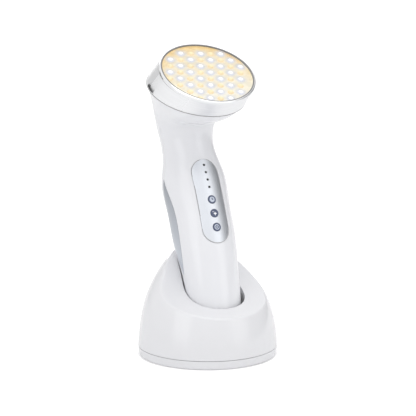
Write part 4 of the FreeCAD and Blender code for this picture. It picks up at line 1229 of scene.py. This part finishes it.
# Colour, roughness, drift and share of metal
INNER_FINISHES = (
    ("spreader_metal", (0.70, 0.71, 0.72), (0.35, 0.5), (0.1, 600.0), 1.0, ("heat_spreader",)),
    ("contact_gold", (0.83, 0.60, 0.28), (0.12, 0.22), (0.08, 500.0), 1.0,
     ("charge_contacts", "left_charge_pin", "right_charge_pin", "pin_barrels", "inlet_pin")),
    ("indicator_chip", (0.80, 0.72, 0.40), (0.3, 0.4), (0.1, 900.0), 0.0, ("indicator_lights",)),
    ("lead_red", (0.42, 0.03, 0.025), (0.35, 0.45), (0.1, 200.0), 0.0,
     ("charge_leads", "cell_leads", "inlet_leads")),
)


class WAND_OT_inside(bpy.types.Operator):
    """Dress the boards, the cell, the contacts and the leads"""
    bl_idname = "wand.inside"
    bl_label = "Inside"

    def execute(self, context):
        for name, tint, dressed in HOUSINGS:
            dress(matt_rubber(name, tint), *dressed)
        for name, tint, trace, dressed in BOARDS:
            dress(board_mask(name, tint, trace), *dressed)
        for name, tint, rough, drift, metal, dressed in INNER_FINISHES:
            dress(finish(name, tint, rough, drift=drift, Metallic=metal), *dressed)
        dress(cell_wrap(), "battery_cell")
        return {"FINISHED"}


# Stage

FLOOR_STEPS, FLOOR_HUB = 64, 1 * MM
FLOOR_WHITE, FLOOR_ROUGH = (0.9, 0.9, 0.9), 0.9
FLOOR_GLOW, FLOOR_MIRRORED = (0.25, 0.25, 0.25), 0.2    # glow that is seen, and share in polish

# Black flag: its outline across and up, and its distance behind the object
FLAG_OUTLINE = ((-0.040, 0.1600), (-0.096, 0.1380), (-0.096, 0.1485), (-0.082, 0.1562),
                (-0.072, 0.1608), (-0.060, 0.1656), (-0.050, 0.1682), (-0.040, 0.1680))
FLAG_BACK = 0.13
FLAG_BLACK = (0.01, 0.01, 0.01)

# Dark cards of the studio that polished surfaces mirror: direction, half angles of the full and
# of the fading card in degrees, and strength
CARDS = (((0.99, -0.05, 0.05), 28.0, 56.0, 0.05),
         ((0.45, 0.80, 0.40), 12.0, 24.0, 0.80),
         ((-0.15, 0.98, 0.05), 10.0, 24.0, 0.70))

# Lamps: place, width, height and setting of the power; only polish sees those that are boxes
LAMPS = {"key": ((0.0, -0.35, 1.5), 0.9, 0.9, "key_power"),
         "fill": ((-1.1, -0.9, 0.9), 1.2, 1.2, "fill_power"),
         "right_box": ((0.577, -0.889, 0.52), 0.65, 1.0, "right_power"),
         "left_box": ((-1.0, -0.345, 0.52), 0.6, 1.0, "left_power"),
         "back_box": ((0.3, 1.08, 0.52), 0.9, 0.6, "back_power")}

SENSOR_WIDTH = 36.0


def placed(name, data):
    """New object in the scene."""
    made = bpy.data.objects.new(name, data)
    bpy.context.scene.collection.objects.link(made)
    return made


def stage_object(name, points, faces, material):
    """Mesh object of the stage."""
    mesh = bpy.data.meshes.new(name)
    mesh.from_pydata(points, [], faces)
    mesh.materials.append(material)
    return placed(name, mesh)


def aim(held, direction):
    """Turns a lamp or a camera to look along a direction."""
    held.rotation_euler = direction.to_track_quat("-Z", "Y").to_euler()


def make_floor(stage):
    """Round white floor that keeps the object's shadow."""
    material, tree, shader = new_material("stage_floor")
    light, seen = seen_directly(tree)
    feed(tree, shader, {
        "Base Color": opaque(FLOOR_WHITE), "Roughness": FLOOR_ROUGH,
        "Emission Color": opaque(FLOOR_GLOW),
        "Emission Strength": math_node(tree, "MULTIPLY_ADD", light["Is Glossy Ray"],
                                       FLOOR_MIRRORED, seen)})
    profile = [(stage.floor_radius, 0.0), (FLOOR_HUB, 0.0)]
    points, quads, tris = revolved(profile, FLOOR_STEPS)
    faces = quads.tolist() + tris[FLOOR_STEPS:].tolist()
    floor = stage_object("floor", points.tolist(), faces, material)
    floor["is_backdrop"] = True


def make_flag():
    """Black flag behind the left end of the band, which only polished surfaces see."""
    corners = [(across, FLAG_BACK, up) for across, up in FLAG_OUTLINE]
    flag = stage_object("flag", corners, [tuple(range(len(corners)))],
                        matt_rubber("flag_black", FLAG_BLACK))
    flag.visible_camera = False
    flag.visible_diffuse = False
    flag.visible_shadow = False
    flag.visible_transmission = False
    flag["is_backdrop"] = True


def make_world(scene, stage):
    """White to the camera, a white studio with dark cards to polish, an even room to the rest."""
    world = bpy.data.worlds.new("room")
    scene.world = world
    world.use_nodes = True
    tree = world.node_tree
    tree.nodes.clear()
    light, seen = seen_directly(tree)
    towards = add(tree, "ShaderNodeTexCoord").outputs["Generated"]
    studio = 1.0
    for direction, full, fading, strength in CARDS:
        facing = add(tree, "ShaderNodeVectorMath", {0: towards, 1: Vector(direction).normalized()},
                     operation="DOT_PRODUCT").outputs["Value"]
        edges = np.cos(np.radians([fading, full])).tolist()
        shown = map_range(tree, facing, edges, (1.0, strength), smooth=True)
        studio = math_node(tree, "MULTIPLY", studio, shown)
    plain = map_range(tree, seen, (0.0, 1.0), (stage.room_light, 1.0))
    chosen = mix_value(tree, light["Is Glossy Ray"], plain, studio)
    back = add(tree, "ShaderNodeBackground", {"Color": (1.0, 1.0, 1.0, 1.0), "Strength": chosen})
    add(tree, "ShaderNodeOutputWorld", {"Surface": back.outputs[0]})


def make_lamps(stage):
    """Two soft lamps, and three boxes for the polish alone, each aimed at the camera's target."""
    for name, (place, width, height, setting) in LAMPS.items():
        lamp = bpy.data.lights.new(name, "AREA")
        lamp.shape = "RECTANGLE"
        lamp.size = width
        lamp.size_y = height
        lamp.energy = getattr(stage, setting)
        held = placed(name, lamp)
        held.visible_diffuse = not name.endswith("_box")
        held.location = place
        aim(held, Vector(stage.target) - Vector(place))


def make_camera(scene, stage):
    """Camera on a sphere round its target."""
    level = math.cos(stage.elevation)
    back = Vector((math.sin(stage.azimuth) * level, -math.cos(stage.azimuth) * level,
                   math.sin(stage.elevation)))
    data = bpy.data.cameras.new("camera")
    data.sensor_width = SENSOR_WIDTH
    data.lens = stage.lens
    camera = placed("camera", data)
    camera.location = Vector(stage.target) + back * stage.distance
    aim(camera, -back)
    scene.camera = camera


class WAND_OT_stage(bpy.types.Operator):
    """Set the floor, the lamps, the surroundings and the camera"""
    bl_idname = "wand.stage"
    bl_label = "Stage"

    def execute(self, context):
        scene, stage = context.scene, context.scene.wand_stage
        make_floor(stage)
        make_flag()
        make_world(scene, stage)
        make_lamps(stage)
        make_camera(scene, stage)
        scene.view_settings.view_transform = "Standard"
        return {"FINISHED"}


# Add-on

STEPS = (WAND_OT_casing, WAND_OT_head_band, WAND_OT_lens, WAND_OT_lights, WAND_OT_panel,
         WAND_OT_buttons, WAND_OT_cradle, WAND_OT_screws, WAND_OT_inside, WAND_OT_stage)
SETTINGS = {"wand_head": HeadSizes, "wand_panel": PanelSizes, "wand_colours": FinishColours,
            "wand_stage": StageSettings}


class WAND_PT_panel(bpy.types.Panel):
    """Lists the steps that dress the wand"""
    bl_label = "Light therapy wand"
    bl_idname = "WAND_PT_panel"
    bl_space_type = "VIEW_3D"
    bl_region_type = "UI"
    bl_category = "Wand"

    def draw(self, context):
        for step in STEPS:
            self.layout.operator(step.bl_idname)


def register():
    for group in SETTINGS.values():
        bpy.utils.register_class(group)
    for name, group in SETTINGS.items():
        setattr(bpy.types.Scene, name, PointerProperty(type=group))
    for made in (*STEPS, WAND_PT_panel):
        bpy.utils.register_class(made)


def unregister():
    for made in (WAND_PT_panel, *reversed(STEPS)):
        bpy.utils.unregister_class(made)
    for name, group in SETTINGS.items():
        delattr(bpy.types.Scene, name)
        bpy.utils.unregister_class(group)


def main():
    register()
    for step in STEPS:
        area, name = step.bl_idname.split(".")
        getattr(getattr(bpy.ops, area), name)()
    sizes = {"cad": cad_box, "visual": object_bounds()}
    {name: [list(corner) for corner in box] for name, box in sizes.items()}


if __name__ == "__main__":
    main()
